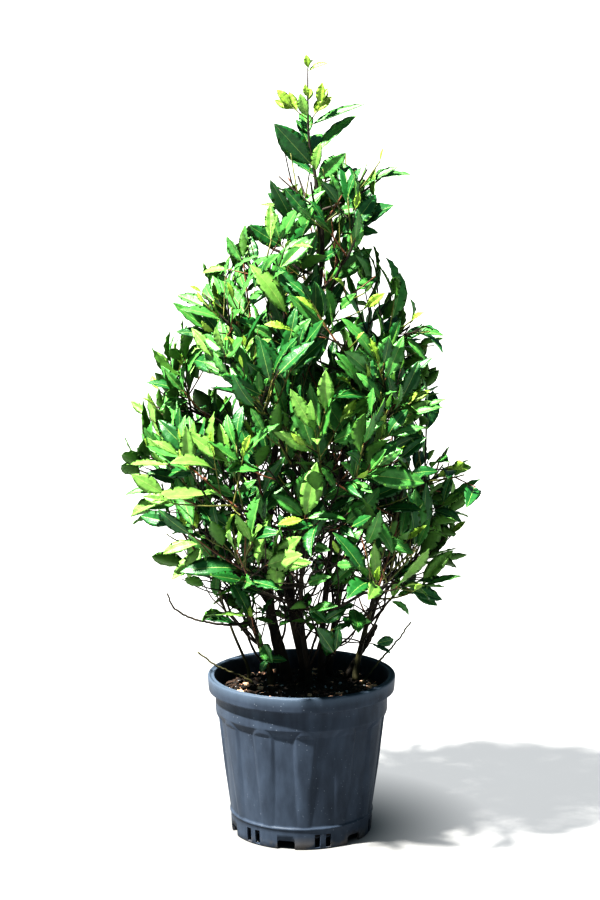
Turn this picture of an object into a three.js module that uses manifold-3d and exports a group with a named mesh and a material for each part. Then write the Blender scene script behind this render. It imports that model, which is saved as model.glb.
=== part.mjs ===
// A bay laurel grown as a leafy pyramid from several stems, standing in a ribbed nursery pot.
// Millimetres, +Z up. The origin is the middle of the pot's flat underside.
import * as THREE from "three";
import { mergeVertices } from "three/addons/utils/BufferGeometryUtils.js";
import Module from "manifold-3d";

const wasm = await Module();
wasm.setup();

// Driving dimensions of the pot
const POT_HEIGHT = 256.5;
const RIM_RADIUS = 150;
const RIM_INNER_RADIUS = 139;
const LIP_HEIGHT = 24;
const WALL_TOP_RADIUS = 137.5;
const FOOT_RADIUS = 112.5;
const WALL = 2.6;
const FLUTES = 12;
const FLUTE_TURN = -102.5; // degrees, to the middle of one recessed panel
const PANEL_DEPTH = 5;
const BEAD_HEIGHT = 33;
const CHANNEL_HEIGHT = 16; // the floor's outer ring stands this high, over the drainage channel
const CHANNEL_INNER_RADIUS = 82;
const FLOOR = 3;
const RECESS_MARGIN = 32.5; // plain band between the lip and the recessed panels
const ARCH_RISE = 13; // height of the sloping ledge that closes each panel
const NOTCH = { width: 28, low: -5, high: 14, chamfer: 3, depth: 8 }; // gaps between the feet
const SLOT = { width: 8.5, low: 3, high: 24, chamfer: 0.5, depth: 6 }; // drain slots, in pairs
const SLOT_SPACING = 18;
const POT_SIDES = 24; // of the round faces inside the pot

// Driving dimensions of the soil and the plant
const SOIL_TOP = 234; // the flat top that the stems stand on
const SOIL_EDGE = 226; // where the soil meets the wall
const SOIL_FLAT_RADIUS = 102;
const GAP = 0.3; // between pieces that touch
const HEIGHT = 1235; // from the ground to the topmost leaf tip
const GOLDEN = 137.5; // degrees between one leaf or twig and the next
const STEM_TAPER = 0.8; // power of the share along a limb at which its radius falls
const STEM_FLARE = 0.35; // how much a stem swells at the soil, as a share of its radius
const FLARE_LENGTH = 16; // over which the swelling dies away
const FOOT_STRAIGHT = 14; // a stem leaves the soil upright for this far
const LEAF_LENGTH = 104;
const LEAF_WIDTH = 0.48; // as a share of its length
const LEAF_SIZES = [1.12, 1.04, 0.96, 0.88, 0.8, 0.72, 0.64, 0.56]; // the largest that fits is used
const LEAF_BELLY = 0.45; // where along it the blade is widest
const LEAF_KEEL = 2.4; // how far the keel stands under the blade
const LEAF_DROOP = 0.1; // how far the tip bends down, as a share of the length
const LEAF_SUNK = 0.5; // how far past its twig's middle a leaf's root reaches
const LEAF_CLEARANCE = 7; // from the points tested on a leaf to a limb's surface
const LEAF_SPACING = 26; // between the middles of two leaves
const LEAF_STEP = 11; // between leaves along a twig
const LEAF_TILT = 28; // degrees from its twig, and more in a roomy mass
const CELL_MARGIN = 1; // from a leaf to the space of the next mass
const BOUGH_RADIUS = [3.4, 2]; // at its foot and at its tip, as for the next two
const SHOOT_RADIUS = [2.3, 1.6];
const TWIG_RADIUS = [1.9, 1.5];
const SIDE_TWIGS = 4; // on each mass's shoot
const TWIG_LENGTHS = [72, 56, 42, 28]; // the longest that fits is used
const TWIG_TILT = [45, 70]; // degrees from the shoot
const TWIG_CLEARANCE = 4; // from a side twig to a limb's surface
const LEAVES_PER_MASS = 17;
const MASS_INSET = 0.7; // how far out a mass's centre stands, as a share of the crown's radius

// The crown's outline: height, and how far leaf tips reach to the left and to the right there
const OUTLINE = [
  [290, 95, 130],
  [340, 150, 175],
  [380, 206, 205],
  [417, 215, 256],
  [470, 246, 256],
  [523, 284, 260],
  [576, 293, 286],
  [610, 282, 240],
  [700, 240, 228],
  [810, 212, 218],
  [851, 203, 162],
  [900, 150, 152],
  [942, 118, 132],
  [1004, 64, 140],
  [1045, 56, 150],
  [1088, 50, 84],
  [1156, 40, 96],
  [1215, 12, 44],
  [HEIGHT, 6, 28],
];

// Stems: the foot on the soil, points on the way and the tip, then the radius at the foot and at the tip
const STEMS = {
  stem_leader: {
    route: [[6, 46], [-18, 38, 380], [2, 20, 600], [24, 6, 830], [32, 0, 960], [18, 0, 1070]],
    radius: [8.5, 2.4],
    steps: 13,
  },
  stem_second: {
    route: [[-26, 42], [-50, 28, 360], [-50, 16, 540], [-32, 0, 700], [-26, -6, 850]],
    radius: [9, 2.6],
  },
  stem_left: { route: [[-50, 16], [-76, 4, 330], [-112, -18, 440], [-142, -34, 540]], radius: [5.2, 2.6] },
  stem_centre_right: {
    route: [[32, 44], [36, 36, 350], [52, 24, 500], [72, 8, 660], [84, -2, 770]],
    radius: [5.4, 2.4],
  },
  stem_right: { route: [[88, 42], [108, 34, 340], [138, 16, 450], [160, -2, 560]], radius: [4.8, 2.4] },
  stem_front: { route: [[12, 8], [0, -22, 350], [2, -70, 470], [14, -104, 600]], radius: [5, 2.4] },
  stem_back_left: { route: [[-34, 76], [-52, 92, 350], [-70, 112, 480], [-84, 118, 620]], radius: [6, 2.6] },
  stem_back_right: { route: [[44, 78], [60, 96, 350], [82, 108, 480], [104, 106, 610]], radius: [6, 2.6] },
  stem_thin_left: { route: [[-86, 48], [-110, 46, 310], [-128, 40, 365]], radius: [2.4, 1.8] },
};

// Bare limbs on the soil: a pruned stub, a thin whip and a low sprig over the rim
const BARE = {
  stub_right: { route: [[72, 56], [92, 58, 268], [112, 52, 304], [119, 50, 322]], radius: [5, 4.4] },
  whip_right: { route: [[98, 22], [122, 34, 262], [148, 40, 290], [176, 40, 330]], radius: [1.8, 1.1] },
  sprig_left: { route: [[-78, 22], [-104, 16, 250], [-138, 12, 266], [-166, 10, 288]], radius: [1.8, 1.3] },
};

// A bare branch that leaves the left stem at a share of its length
const BARE_BRANCH = {
  share: 0.34,
  route: [[-120, -16, 340], [-180, -26, 356], [-204, -28, 374], [-212, -28, 394]],
  radius: [2.4, 1.2],
};

// Tiers of foliage: height of the centres, how many, and the turn of the first one in degrees
const TIERS = [
  { name: "top", height: 1030, count: 3, turn: 8 },
  { name: "upper", height: 925, count: 4, turn: 50 },
  { name: "high", height: 815, count: 5, turn: 5 },
  { name: "middle", height: 700, count: 5, turn: 35 },
  { name: "low", height: 580, count: 6, turn: 0 },
  { name: "skirt", height: 442, count: 5, turn: 20 },
];
const TIER_STEP = 16; // every other mass of a wide tier stands this much higher, the rest lower
const TIP_CENTRE = 1135; // height of the middle of the mass on the leader's tip

// How masses hang on their limbs
const TIP_REACH = 125; // from a stem's tip to the middle of the mass that it carries
const DIRECT_REACH = 110; // past this, a bough runs from the stem towards the mass
const BOUGH_END = 34; // from a bough's end to the middle of its mass
const BOUGH_SAG = 0.08; // as a share of its length
const TIP_DROP = 30; // a stem's tip can be this much higher than the middle of the mass that it carries
const LEAST_RISE = 0.3; // of a bough or shoot to its mass, as a share of its length
const START_SPACING = 14; // between the places where boughs and shoots leave a stem
const WAY_CLEARANCE = 5; // from a bough or shoot to any other limb's surface

const UP = new THREE.Vector3(0, 0, 1);
const radians = THREE.MathUtils.degToRad;
const mix = THREE.MathUtils.lerp;

// A repeatable random number from 0 to 1, seeded
function seeded(seed) {
  let state = seed >>> 0;
  return () => {
    state = (state + 0x6d2b79f5) >>> 0;
    let t = Math.imul(state ^ (state >>> 15), 1 | state);
    t = (t + Math.imul(t ^ (t >>> 7), 61 | t)) ^ t;
    return ((t ^ (t >>> 14)) >>> 0) / 4294967296;
  };
}

// The value at x on a line through rows that start with x, taken from the given column
function along(rows, x, column = 1) {
  if (x <= rows[0][0]) return rows[0][column];
  for (let i = 1; i < rows.length; i++) {
    const share = (x - rows[i - 1][0]) / (rows[i][0] - rows[i - 1][0]);
    if (share <= 1) return mix(rows[i - 1][column], rows[i][column], share);
  }
  return rows[rows.length - 1][column];
}

// A closed geometry through rings of points that all have the same count, with flat ends
function ringsGeometry(rings) {
  const n = rings[0].length;
  const positions = rings.flat().flatMap((p) => [p.x, p.y, p.z]);
  const faces = [];
  for (let i = 0; i + 1 < rings.length; i++)
    for (let j = 0; j < n; j++) {
      const a = i * n + j;
      const b = i * n + ((j + 1) % n);
      faces.push(a, b, b + n, a, b + n, a + n);
    }
  const last = (rings.length - 1) * n;
  for (let j = 1; j + 1 < n; j++) {
    faces.push(0, j + 1, j);
    faces.push(last, last + j, last + j + 1);
  }
  const geometry = new THREE.BufferGeometry();
  geometry.setAttribute("position", new THREE.Float32BufferAttribute(positions, 3));
  geometry.setIndex(faces);
  return geometry;
}

function solidFrom(geometry) {
  const bare = geometry.clone();
  bare.deleteAttribute("normal");
  bare.deleteAttribute("uv");
  const merged = mergeVertices(bare, 1e-4);
  return new wasm.Manifold(
    new wasm.Mesh({
      numProp: 3,
      vertProperties: new Float32Array(merged.attributes.position.array),
      triVerts: new Uint32Array(merged.index.array),
    }),
  );
}

function geometryFrom(solid) {
  const mesh = solid.getMesh();
  const geometry = new THREE.BufferGeometry();
  const positions = new Float32Array(mesh.numVert * 3);
  for (let i = 0; i < mesh.numVert; i++)
    positions.set(mesh.vertProperties.subarray(i * mesh.numProp, i * mesh.numProp + 3), i * 3);
  geometry.setAttribute("position", new THREE.BufferAttribute(positions, 3));
  geometry.setIndex(new THREE.BufferAttribute(new Uint32Array(mesh.triVerts), 1));
  return geometry;
}

// A point at an angle in degrees about the pot's axis
function polar(degrees, radius, z) {
  return new THREE.Vector3(radius * Math.cos(radians(degrees)), radius * Math.sin(radians(degrees)), z);
}

function roundRing(z, radius) {
  return Array.from({ length: POT_SIDES }, (_, i) => polar((360 * i) / POT_SIDES, radius, z));
}

// The pot: a fluted tapering wall with a lip, less its hollow, its underside channel, foot gaps and slots

const LIP_LOW = POT_HEIGHT - LIP_HEIGHT;
const RECESS_TOP = LIP_LOW - RECESS_MARGIN;
const PANEL_TOP = RECESS_TOP - ARCH_RISE;
const WALL_LOW = BEAD_HEIGHT + 3;
const CREST = [[WALL_LOW, FOOT_RADIUS + 1.5], [RECESS_TOP, WALL_TOP_RADIUS]];
const PANEL = [
  [WALL_LOW, FOOT_RADIUS + 0.5],
  [PANEL_TOP, along(CREST, PANEL_TOP) - PANEL_DEPTH],
  [RECESS_TOP, WALL_TOP_RADIUS],
];
const PILLAR_CURVE = 0.0155; // how fast a pillar falls off to its sides, per millimetre squared
const PILLAR_CORNERS = [-7.6, -4, 0, 4, 7.6]; // degrees from a pillar's middle to the wall's corners

// The wall's radius: recessed panels, and between them pillars whose section is a parabola
function wallRadius(z, fromPillar) {
  const side = radians(fromPillar) * along(CREST, z);
  return Math.max(along(PANEL, z), along(CREST, z) - PILLAR_CURVE * side * side);
}

// A ring with the wall's corners, of its own radius or a plain one
function wallRing(z, radius) {
  return Array.from({ length: FLUTES }, (_, flute) =>
    PILLAR_CORNERS.map((corner) => {
      const degrees = FLUTE_TURN + (360 / FLUTES) * (flute + 0.5) + corner;
      return polar(degrees, radius ?? wallRadius(z, corner), z);
    }),
  ).flat();
}

// The pot's inner face: rows of height and radius
const INNER_WALL = [
  [CHANNEL_HEIGHT + FLOOR + 0.5, FOOT_RADIUS - WALL],
  [PANEL_TOP, along(PANEL, PANEL_TOP) - WALL],
  [RECESS_TOP + 6, WALL_TOP_RADIUS - WALL],
  [POT_HEIGHT - 2, RIM_INNER_RADIUS],
];

// A box with chamfered top corners that cuts outward through the foot at an angle
function footCutter({ width, low, high, chamfer, depth }, degrees) {
  const half = width / 2;
  const shape = new THREE.Shape();
  shape.moveTo(-half, low);
  shape.lineTo(half, low);
  shape.lineTo(half, high - chamfer);
  shape.lineTo(half - chamfer, high);
  shape.lineTo(chamfer - half, high);
  shape.lineTo(-half, high - chamfer);
  const geometry = new THREE.ExtrudeGeometry(shape, { depth: 2 * depth, bevelEnabled: false });
  geometry.rotateX(Math.PI / 2);
  geometry.translate(0, FOOT_RADIUS + depth, 0);
  geometry.rotateZ(radians(degrees - 90));
  return solidFrom(geometry);
}

// Gaps between the feet and pairs of drain slots, by turns under the panels
function footCutters() {
  return Array.from({ length: FLUTES }, (_, i) => {
    const middle = FLUTE_TURN + (360 / FLUTES) * i;
    if (i % 2 === 0) return [footCutter(NOTCH, middle)];
    const turn = THREE.MathUtils.radToDeg(SLOT_SPACING / 2 / FOOT_RADIUS);
    return [footCutter(SLOT, middle - turn), footCutter(SLOT, middle + turn)];
  }).flat();
}

function pot() {
  const outside = ringsGeometry([
    wallRing(0, FOOT_RADIUS),
    wallRing(BEAD_HEIGHT - 2, FOOT_RADIUS + 1.6),
    wallRing(BEAD_HEIGHT, FOOT_RADIUS + 3),
    wallRing(WALL_LOW, FOOT_RADIUS + 1.5),
    wallRing(PANEL_TOP),
    wallRing(RECESS_TOP, WALL_TOP_RADIUS),
    wallRing(LIP_LOW, WALL_TOP_RADIUS + 0.3),
    wallRing(LIP_LOW, RIM_RADIUS - 1.5),
    wallRing(POT_HEIGHT - 2, RIM_RADIUS),
    wallRing(POT_HEIGHT, RIM_RADIUS - 1.8),
  ]);
  const hollow = ringsGeometry([
    roundRing(FLOOR, CHANNEL_INNER_RADIUS - 2),
    roundRing(CHANNEL_HEIGHT + FLOOR, CHANNEL_INNER_RADIUS + 2),
    ...INNER_WALL.map(([z, radius]) => roundRing(z, radius)),
    roundRing(POT_HEIGHT + 5, RIM_INNER_RADIUS + 6),
  ]);
  const channel = ringsGeometry([
    roundRing(-5, FOOT_RADIUS - WALL - 2),
    roundRing(CHANNEL_HEIGHT, FOOT_RADIUS - WALL),
  ]);
  const base = ringsGeometry([
    roundRing(-6, CHANNEL_INNER_RADIUS),
    roundRing(CHANNEL_HEIGHT + 1, CHANNEL_INNER_RADIUS + 4),
  ]);
  const walls = solidFrom(outside).subtract(solidFrom(hollow));
  const standing = walls.subtract(solidFrom(channel).subtract(solidFrom(base)));
  return footCutters().reduce((whole, cutter) => whole.subtract(cutter), standing);
}

// The soil: fills the pot's hollow, with a flat top for the stems and a slope down to the wall
function soil() {
  const floor = CHANNEL_HEIGHT + FLOOR + GAP;
  const wallRings = [PANEL_TOP, RECESS_TOP + 6, SOIL_EDGE];
  return solidFrom(
    ringsGeometry([
      roundRing(FLOOR + GAP, CHANNEL_INNER_RADIUS - 2.5),
      roundRing(floor, CHANNEL_INNER_RADIUS + 1.2),
      roundRing(floor + 0.5, FOOT_RADIUS - WALL - 2 * GAP),
      ...wallRings.map((z) => roundRing(z, along(INNER_WALL, z) - GAP)),
      roundRing(SOIL_TOP, SOIL_FLAT_RADIUS),
    ]),
  );
}

// Limbs: tapering tubes along smooth routes

const vector = (p) => new THREE.Vector3(p[0], p[1], p[2]);

// A limb's centreline: points, and the radius at each
function limbLine(route, radius, steps, flare = 0) {
  const curve = new THREE.CatmullRomCurve3(route.map(vector), false, "centripetal");
  const points = curve.getSpacedPoints(steps);
  const length = curve.getLength();
  const radii = points.map((_, i) => {
    const t = i / steps;
    return mix(radius[0], radius[1], t ** STEM_TAPER) + flare * Math.exp((-t * length) / FLARE_LENGTH);
  });
  return { points, radii };
}

// A tube with a number of sides round a centreline, grown by an amount; its first ring can face a given way
function tubeSolid(line, sides, grown = 0) {
  const { points, radii, facing } = line;
  let across = new THREE.Vector3(1, 0, 0);
  const rings = points.map((point, i) => {
    const before = points[Math.max(0, i - 1)];
    const after = points[Math.min(points.length - 1, i + 1)];
    const tangent = i === 0 && facing ? facing : after.clone().sub(before).normalize();
    across = across.clone().addScaledVector(tangent, -across.dot(tangent)).normalize();
    const third = tangent.clone().cross(across);
    return Array.from({ length: sides }, (_, j) => {
      const angle = (2 * Math.PI * j) / sides;
      return point
        .clone()
        .addScaledVector(across, (radii[i] + grown) * Math.cos(angle))
        .addScaledVector(third, (radii[i] + grown) * Math.sin(angle));
    });
  });
  return solidFrom(ringsGeometry(rings));
}

function pointAt(line, t) {
  const x = t * (line.points.length - 1);
  const i = Math.min(Math.floor(x), line.points.length - 2);
  return {
    point: line.points[i].clone().lerp(line.points[i + 1], x - i),
    tangent: line.points[i + 1].clone().sub(line.points[i]).normalize(),
  };
}

// The shortest distance from a point to a limb's surface
function clearance(point, line) {
  let least = Infinity;
  const part = new THREE.Line3();
  const nearest = new THREE.Vector3();
  for (let i = 0; i + 1 < line.points.length; i++) {
    part.set(line.points[i], line.points[i + 1]).closestPointToPoint(point, true, nearest);
    least = Math.min(least, nearest.distanceTo(point) - line.radii[i]);
  }
  return least;
}

const limbs = []; // each has its name, line, solid, and a solid grown by the gap that others are cut with

// Adds a limb that stands on the soil, or grows out of a parent limb and is cut clear of it
function addLimb(name, line, sides, parent) {
  if (!parent) line.facing = UP;
  const whole = tubeSolid(line, sides);
  const solid = parent ? largestBody(whole.subtract(parent.grown)) : whole;
  const limb = { name, line, solid, grown: tubeSolid(line, sides, GAP) };
  limbs.push(limb);
  return limb;
}

function largestBody(solid) {
  return solid.decompose().reduce((a, b) => (b.volume() > a.volume() ? b : a));
}

for (const [name, { route, radius, steps = 8 }] of Object.entries(STEMS)) {
  const [[x, y], ...rest] = route;
  const foot = [[x, y, SOIL_TOP + GAP], [x, y, SOIL_TOP + FOOT_STRAIGHT]];
  addLimb(name, limbLine([...foot, ...rest], radius, steps, radius[0] * STEM_FLARE), 6);
}
const stems = [...limbs];
for (const [name, { route, radius }] of Object.entries(BARE)) {
  const [[x, y], ...rest] = route;
  addLimb(name, limbLine([[x, y, SOIL_TOP + GAP], ...rest], radius, 6, 0.6), 5);
}
{
  const parent = stems.find((stem) => stem.name === "stem_left");
  const start = pointAt(parent.line, BARE_BRANCH.share).point.toArray();
  addLimb("branch_bare_left", limbLine([start, ...BARE_BRANCH.route], BARE_BRANCH.radius, 6), 5, parent);
}

// Masses of foliage, and the limbs that carry them

// The crown's middle and radius at a height
function crownAt(z) {
  const left = along(OUTLINE, z, 1);
  const right = along(OUTLINE, z, 2);
  return { middle: (right - left) / 2, radius: (right + left) / 2 };
}

// Each mass has its centre, the way out of the crown, and how much of the crown's radius is left past it
const masses = TIERS.flatMap(({ name, height, count, turn }) =>
  Array.from({ length: count }, (_, i) => {
    const azimuth = radians(turn + (360 * i) / count);
    const out = new THREE.Vector3(Math.cos(azimuth), Math.sin(azimuth), 0);
    const step = count > 3 ? (i % 2 ? TIER_STEP : -TIER_STEP) : 0;
    const { middle, radius } = crownAt(height + step);
    const centre = new THREE.Vector3(middle, 0, height + step).addScaledVector(out, MASS_INSET * radius);
    return { name: `leaves_${name}_${i + 1}`, centre, out, rest: radius - MASS_INSET * radius };
  }),
);
masses.unshift({
  name: "leaves_tip",
  centre: new THREE.Vector3(crownAt(TIP_CENTRE).middle, 0, TIP_CENTRE),
  out: new THREE.Vector3(),
  rest: 24,
});

// Whether a straight way from a point to a mass's centre is clear of every limb but one, and of other shoots
function wayIsClear(point, mass, limb) {
  const lines = [
    ...limbs.filter((other) => other !== limb).map((other) => other.line),
    ...masses.filter((other) => other.shoot).map((other) => other.shoot),
  ];
  for (let t = 0.15; t < 1; t += 0.1) {
    const place = point.clone().lerp(mass.centre, t);
    if (lines.some((line) => clearance(place, line) < WAY_CLEARANCE)) return false;
  }
  return true;
}

// Each stem's tip takes the nearest mass that isn't below it
for (const stem of stems) {
  const tip = stem.line.points.at(-1);
  const free = masses.filter((mass) => !mass.limb && mass.centre.z > tip.z - TIP_DROP);
  const nearest = free.reduce((a, b) => (b.centre.distanceTo(tip) < a.centre.distanceTo(tip) ? b : a));
  if (nearest.centre.distanceTo(tip) > TIP_REACH) continue;
  nearest.limb = stem;
  nearest.start = tip.clone();
  nearest.fromTip = true;
}

// The nearest place on a stem, lower than the mass, that no other bough or shoot has taken
function findStart(mass) {
  const places = stems.flatMap((stem) =>
    Array.from({ length: 24 }, (_, i) => {
      const { point } = pointAt(stem.line, 0.25 + 0.03 * i);
      return { point, stem, away: mass.centre.distanceTo(point) };
    }),
  );
  return places
    .filter(({ point, away }) => mass.centre.z - point.z > LEAST_RISE * away)
    .filter(({ point }) => starts.every((start) => start.distanceTo(point) > START_SPACING))
    .sort((a, b) => a.away - b.away)
    .find(({ point, stem }) => wayIsClear(point, mass, stem));
}

const starts = [];
for (const mass of masses) {
  if (!mass.fromTip) {
    const { point, stem, away } = findStart(mass);
    mass.limb = stem;
    mass.start = point;
    starts.push(point);
    if (away > DIRECT_REACH) addBough(mass, away);
  }
  addShoot(mass);
}

// A bough runs from its stem to where it enters its mass
function addBough(mass, away) {
  const toward = mass.centre.clone().sub(mass.start);
  const end = mass.start.clone().addScaledVector(toward, 1 - BOUGH_END / away);
  const bend = mass.start.clone().lerp(end, 0.5).addScaledVector(UP, -BOUGH_SAG * away);
  const line = limbLine([mass.start, bend, end].map((p) => p.toArray()), BOUGH_RADIUS, 5);
  mass.limb = addLimb(mass.name.replace("leaves", "bough"), line, 5, mass.limb);
  mass.start = end;
  mass.fromTip = true;
}

// A mass's main shoot, which other masses keep clear of
function addShoot(mass) {
  const end = mass.centre.clone().addScaledVector(mass.out, 0.25 * mass.rest).addScaledVector(UP, 14);
  if (mass.name === "leaves_tip") end.z = HEIGHT - 0.7 * LEAF_LENGTH;
  let start = mass.start;
  const facing = pointAt(mass.limb.line, 1).tangent;
  if (mass.fromTip) start = start.clone().addScaledVector(facing, GAP);
  const middle = start.clone().lerp(mass.centre, 0.55).addScaledVector(mass.out, 4);
  mass.shoot = limbLine([start, middle, end].map((p) => p.toArray()), SHOOT_RADIUS, 3);
  if (mass.fromTip) mass.shoot.facing = facing;
}

// Growth inside a mass: side twigs by the golden angle, leaves along every twig by the same angle

// Whether a point keeps to the mass's own space: nearer its centre than any other's, and inside the outline
function inOwnSpace(point, mass) {
  if (point.z < OUTLINE[0][0] || point.z > HEIGHT) return false;
  const { middle, radius } = crownAt(point.z);
  if (Math.hypot(point.x - middle, point.y) > radius) return false;
  const own = point.distanceTo(mass.centre);
  return masses.every((other) => {
    if (other === mass) return true;
    const apart = other.centre.distanceTo(mass.centre);
    const past = (own ** 2 - point.distanceTo(other.centre) ** 2) / (2 * apart);
    return past < -CELL_MARGIN;
  });
}

function isClear(points, mass, margin) {
  return points.every(
    (point) =>
      inOwnSpace(point, mass) &&
      limbs.every((limb) => clearance(point, limb.line) > margin) &&
      masses.every((other) => other === mass || clearance(point, other.shoot) > margin),
  );
}

// A leaf's corners: a blade bent down past its widest part, a keel under it, and a root sunk in its twig
function leafCorners(bud, direction, normal, length) {
  const side = direction.clone().cross(normal).normalize();
  const face = side.clone().cross(direction).normalize();
  const at = (forward, sideways, up) =>
    bud.clone().addScaledVector(direction, forward).addScaledVector(side, sideways).addScaledVector(face, up);
  const half = 0.5 * LEAF_WIDTH * length;
  return {
    root: at(-LEAF_SUNK, 0, 0),
    left: at(LEAF_BELLY * length, -half, 0),
    right: at(LEAF_BELLY * length, half, 0),
    keel: at(0.2 * length, 0, -LEAF_KEEL),
    tip: at(length, 0, -LEAF_DROOP * length),
  };
}

function leafSolid({ root, left, right, keel, tip }) {
  const positions = [root, left, right, keel, tip].flatMap((p) => [p.x, p.y, p.z]);
  const faces = [0, 2, 1, 1, 2, 4, 0, 1, 3, 0, 3, 2, 1, 4, 3, 3, 4, 2];
  const geometry = new THREE.BufferGeometry();
  geometry.setAttribute("position", new THREE.Float32BufferAttribute(positions, 3));
  geometry.setIndex(faces);
  return solidFrom(geometry);
}

// Points spread over a leaf, to test that it is clear
function leafSamples({ root, left, right, tip }) {
  const middle = left.clone().lerp(right, 0.5);
  const rib = [0.3, 0.65].flatMap((share) => [
    root.clone().lerp(middle, share),
    middle.clone().lerp(tip, share),
  ]);
  const blade = [left, right].flatMap((edge) => [
    edge,
    middle.clone().lerp(edge, 0.5),
    ...[0.4, 0.7].flatMap((share) => [root.clone().lerp(edge, share), tip.clone().lerp(edge, share)]),
  ]);
  return { middle, samples: [middle, tip, ...rib, ...blade] };
}

// Whether a way from one point to another passes through a leaf's blade
function passesThrough(from, to, { root, left, right, tip }) {
  const way = to.clone().sub(from);
  const ray = new THREE.Ray(from, way.clone().normalize());
  const hit = new THREE.Vector3();
  return [root, tip].some(
    (end) => ray.intersectTriangle(left, right, end, false, hit) && hit.distanceTo(from) < way.length(),
  );
}

function leavesCross(one, other) {
  return [[one, other], [other, one]].some(([a, b]) =>
    [["root", "left"], ["left", "tip"], ["tip", "right"], ["right", "root"]].some(
      ([from, to]) => passesThrough(a[from], a[to], b),
    ),
  );
}

// A direction tilted from an axis by some degrees, turned round it by others
function tilted(axis, tilt, turn) {
  const side = Math.abs(axis.z) > 0.9 ? new THREE.Vector3(1, 0, 0) : UP;
  const across = side.clone().cross(axis).normalize().applyAxisAngle(axis, radians(turn));
  const forward = axis.clone().multiplyScalar(Math.cos(radians(tilt)));
  return forward.addScaledVector(across, Math.sin(radians(tilt)));
}

// Side twigs leave the shoot by the golden angle, each as long as fits
function sideTwigs(mass, random) {
  const twigs = [];
  for (let k = 0; k < SIDE_TWIGS; k++) {
    const { point, tangent } = pointAt(mass.shoot, mix(0.3, 0.9, (k + random()) / SIDE_TWIGS));
    const direction = tilted(tangent, mix(...TWIG_TILT, random()), k * GOLDEN + 40 * random());
    for (const length of TWIG_LENGTHS) {
      const end = point.clone().addScaledVector(direction, length * mix(0.9, 1.1, random()));
      const tested = [0.3, 0.45, 0.6, 0.75, 0.9, 1].map((t) => point.clone().lerp(end, t));
      if (!isClear(tested, mass, TWIG_CLEARANCE)) continue;
      twigs.push({ points: [point, end], radii: TWIG_RADIUS });
      break;
    }
  }
  return twigs;
}

// Leaves leave a twig by the golden angle, with one at its tip, which is tried first
function leafBuds(twig, turn, mass, random) {
  const length = twig.points[0].distanceTo(twig.points.at(-1));
  const count = Math.ceil(length / LEAF_STEP);
  return Array.from({ length: count + 1 }, (_, i) => {
    const { point, tangent } = pointAt(twig, Math.min(0.99, 1 - (0.8 * i) / count));
    const tilt = i ? mix(0.6, 1.12, random()) * (LEAF_TILT + 0.45 * mass.rest) : 10;
    const direction = tilted(tangent, tilt, i * GOLDEN + turn);
    direction.addScaledVector(UP, 0.15).normalize();
    const outward = new THREE.Vector3(point.x, point.y, 0).normalize();
    const normal = outward.multiplyScalar(mix(0.5, 1.2, random())).addScaledVector(UP, 0.6);
    const size = LEAF_LENGTH * mix(0.88, 1.04, random());
    const order = i ? 0.5 * i + 4 * random() : 0;
    return { twig, point, direction, normal, size, order };
  });
}

// Whether a solid's surface is still closed when its corners are rounded to a thousandth of a millimetre
function closesRounded(solid) {
  const { numProp, vertProperties, triVerts } = solid.getMesh();
  const place = (v) => [0, 1, 2].map((k) => Math.round(1000 * vertProperties[v * numProp + k])).join();
  const edges = new Map();
  for (let i = 0; i < triVerts.length; i += 3) {
    const [a, b, c] = [0, 1, 2].map((k) => place(triVerts[i + k]));
    if (a === b || b === c || c === a) continue;
    for (const edge of [`${a} ${b}`, `${b} ${c}`, `${c} ${a}`]) edges.set(edge, (edges.get(edge) ?? 0) + 1);
  }
  return [...edges].every(([edge, count]) => count === 1 && edges.has(edge.split(" ").reverse().join(" ")));
}

const leaves = []; // of every mass: corners and middle

function growMass(mass, index) {
  const random = seeded(100 + index);
  const twigs = [mass.shoot, ...sideTwigs(mass, random)];
  const buds = twigs.flatMap((twig, k) => leafBuds(twig, k * 50, mass, random));
  buds.sort((a, b) => a.order - b.order);
  const crossesTwig = (corners, own) =>
    twigs.some((twig) => twig !== own && passesThrough(twig.points[0], twig.points.at(-1), corners));
  let solid = twigs.map((twig) => tubeSolid(twig, 3)).reduce((a, b) => a.add(b));
  let count = 0;
  for (const { twig, point, direction, normal, size } of buds) {
    if (count >= LEAVES_PER_MASS) break;
    for (const share of LEAF_SIZES) {
      const corners = leafCorners(point, direction, normal, size * share);
      const { middle, samples } = leafSamples(corners);
      const near = leaves.filter((leaf) => leaf.middle.distanceTo(middle) < LEAF_LENGTH);
      if (near.some((leaf) => leaf.middle.distanceTo(middle) < LEAF_SPACING)) continue;
      if (near.some((leaf) => leavesCross(leaf.corners, corners)) || crossesTwig(corners, twig)) continue;
      if (!isClear(samples, mass, LEAF_CLEARANCE)) continue;
      const joined = solid.add(leafSolid(corners));
      if (!closesRounded(joined)) continue;
      leaves.push({ corners, middle });
      solid = joined;
      count += 1;
      break;
    }
  }
  if (!mass.fromTip) solid = solid.subtract(mass.limb.grown);
  return largestBody(solid);
}

// The assembly: one group for the pot and its soil, one for the limbs and one for the foliage

const FINISHES = {
  pot: { color: 0x39414c, roughness: 0.55, metalness: 0 },
  soil: { color: 0x2b2019, roughness: 0.95, metalness: 0 },
  bark: { color: 0x4a4136, roughness: 0.85, metalness: 0 },
  leaves: { color: 0x2f6b2c, roughness: 0.45, metalness: 0 },
};

function piece(name, solid, finish) {
  const mesh = new THREE.Mesh(geometryFrom(solid), new THREE.MeshStandardMaterial(FINISHES[finish]));
  mesh.name = name;
  return mesh;
}

const planter = new THREE.Group();
planter.add(piece("pot", pot(), "pot"), piece("soil", soil(), "soil"));

const framework = new THREE.Group();
framework.add(...limbs.map(({ name, solid }) => piece(name, solid, "bark")));

const foliage = new THREE.Group();
foliage.add(...masses.map((mass, index) => piece(mass.name, growMass(mass, index), "leaves")));

const bayLaurel = new THREE.Group();
bayLaurel.add(planter, framework, foliage);

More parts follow.
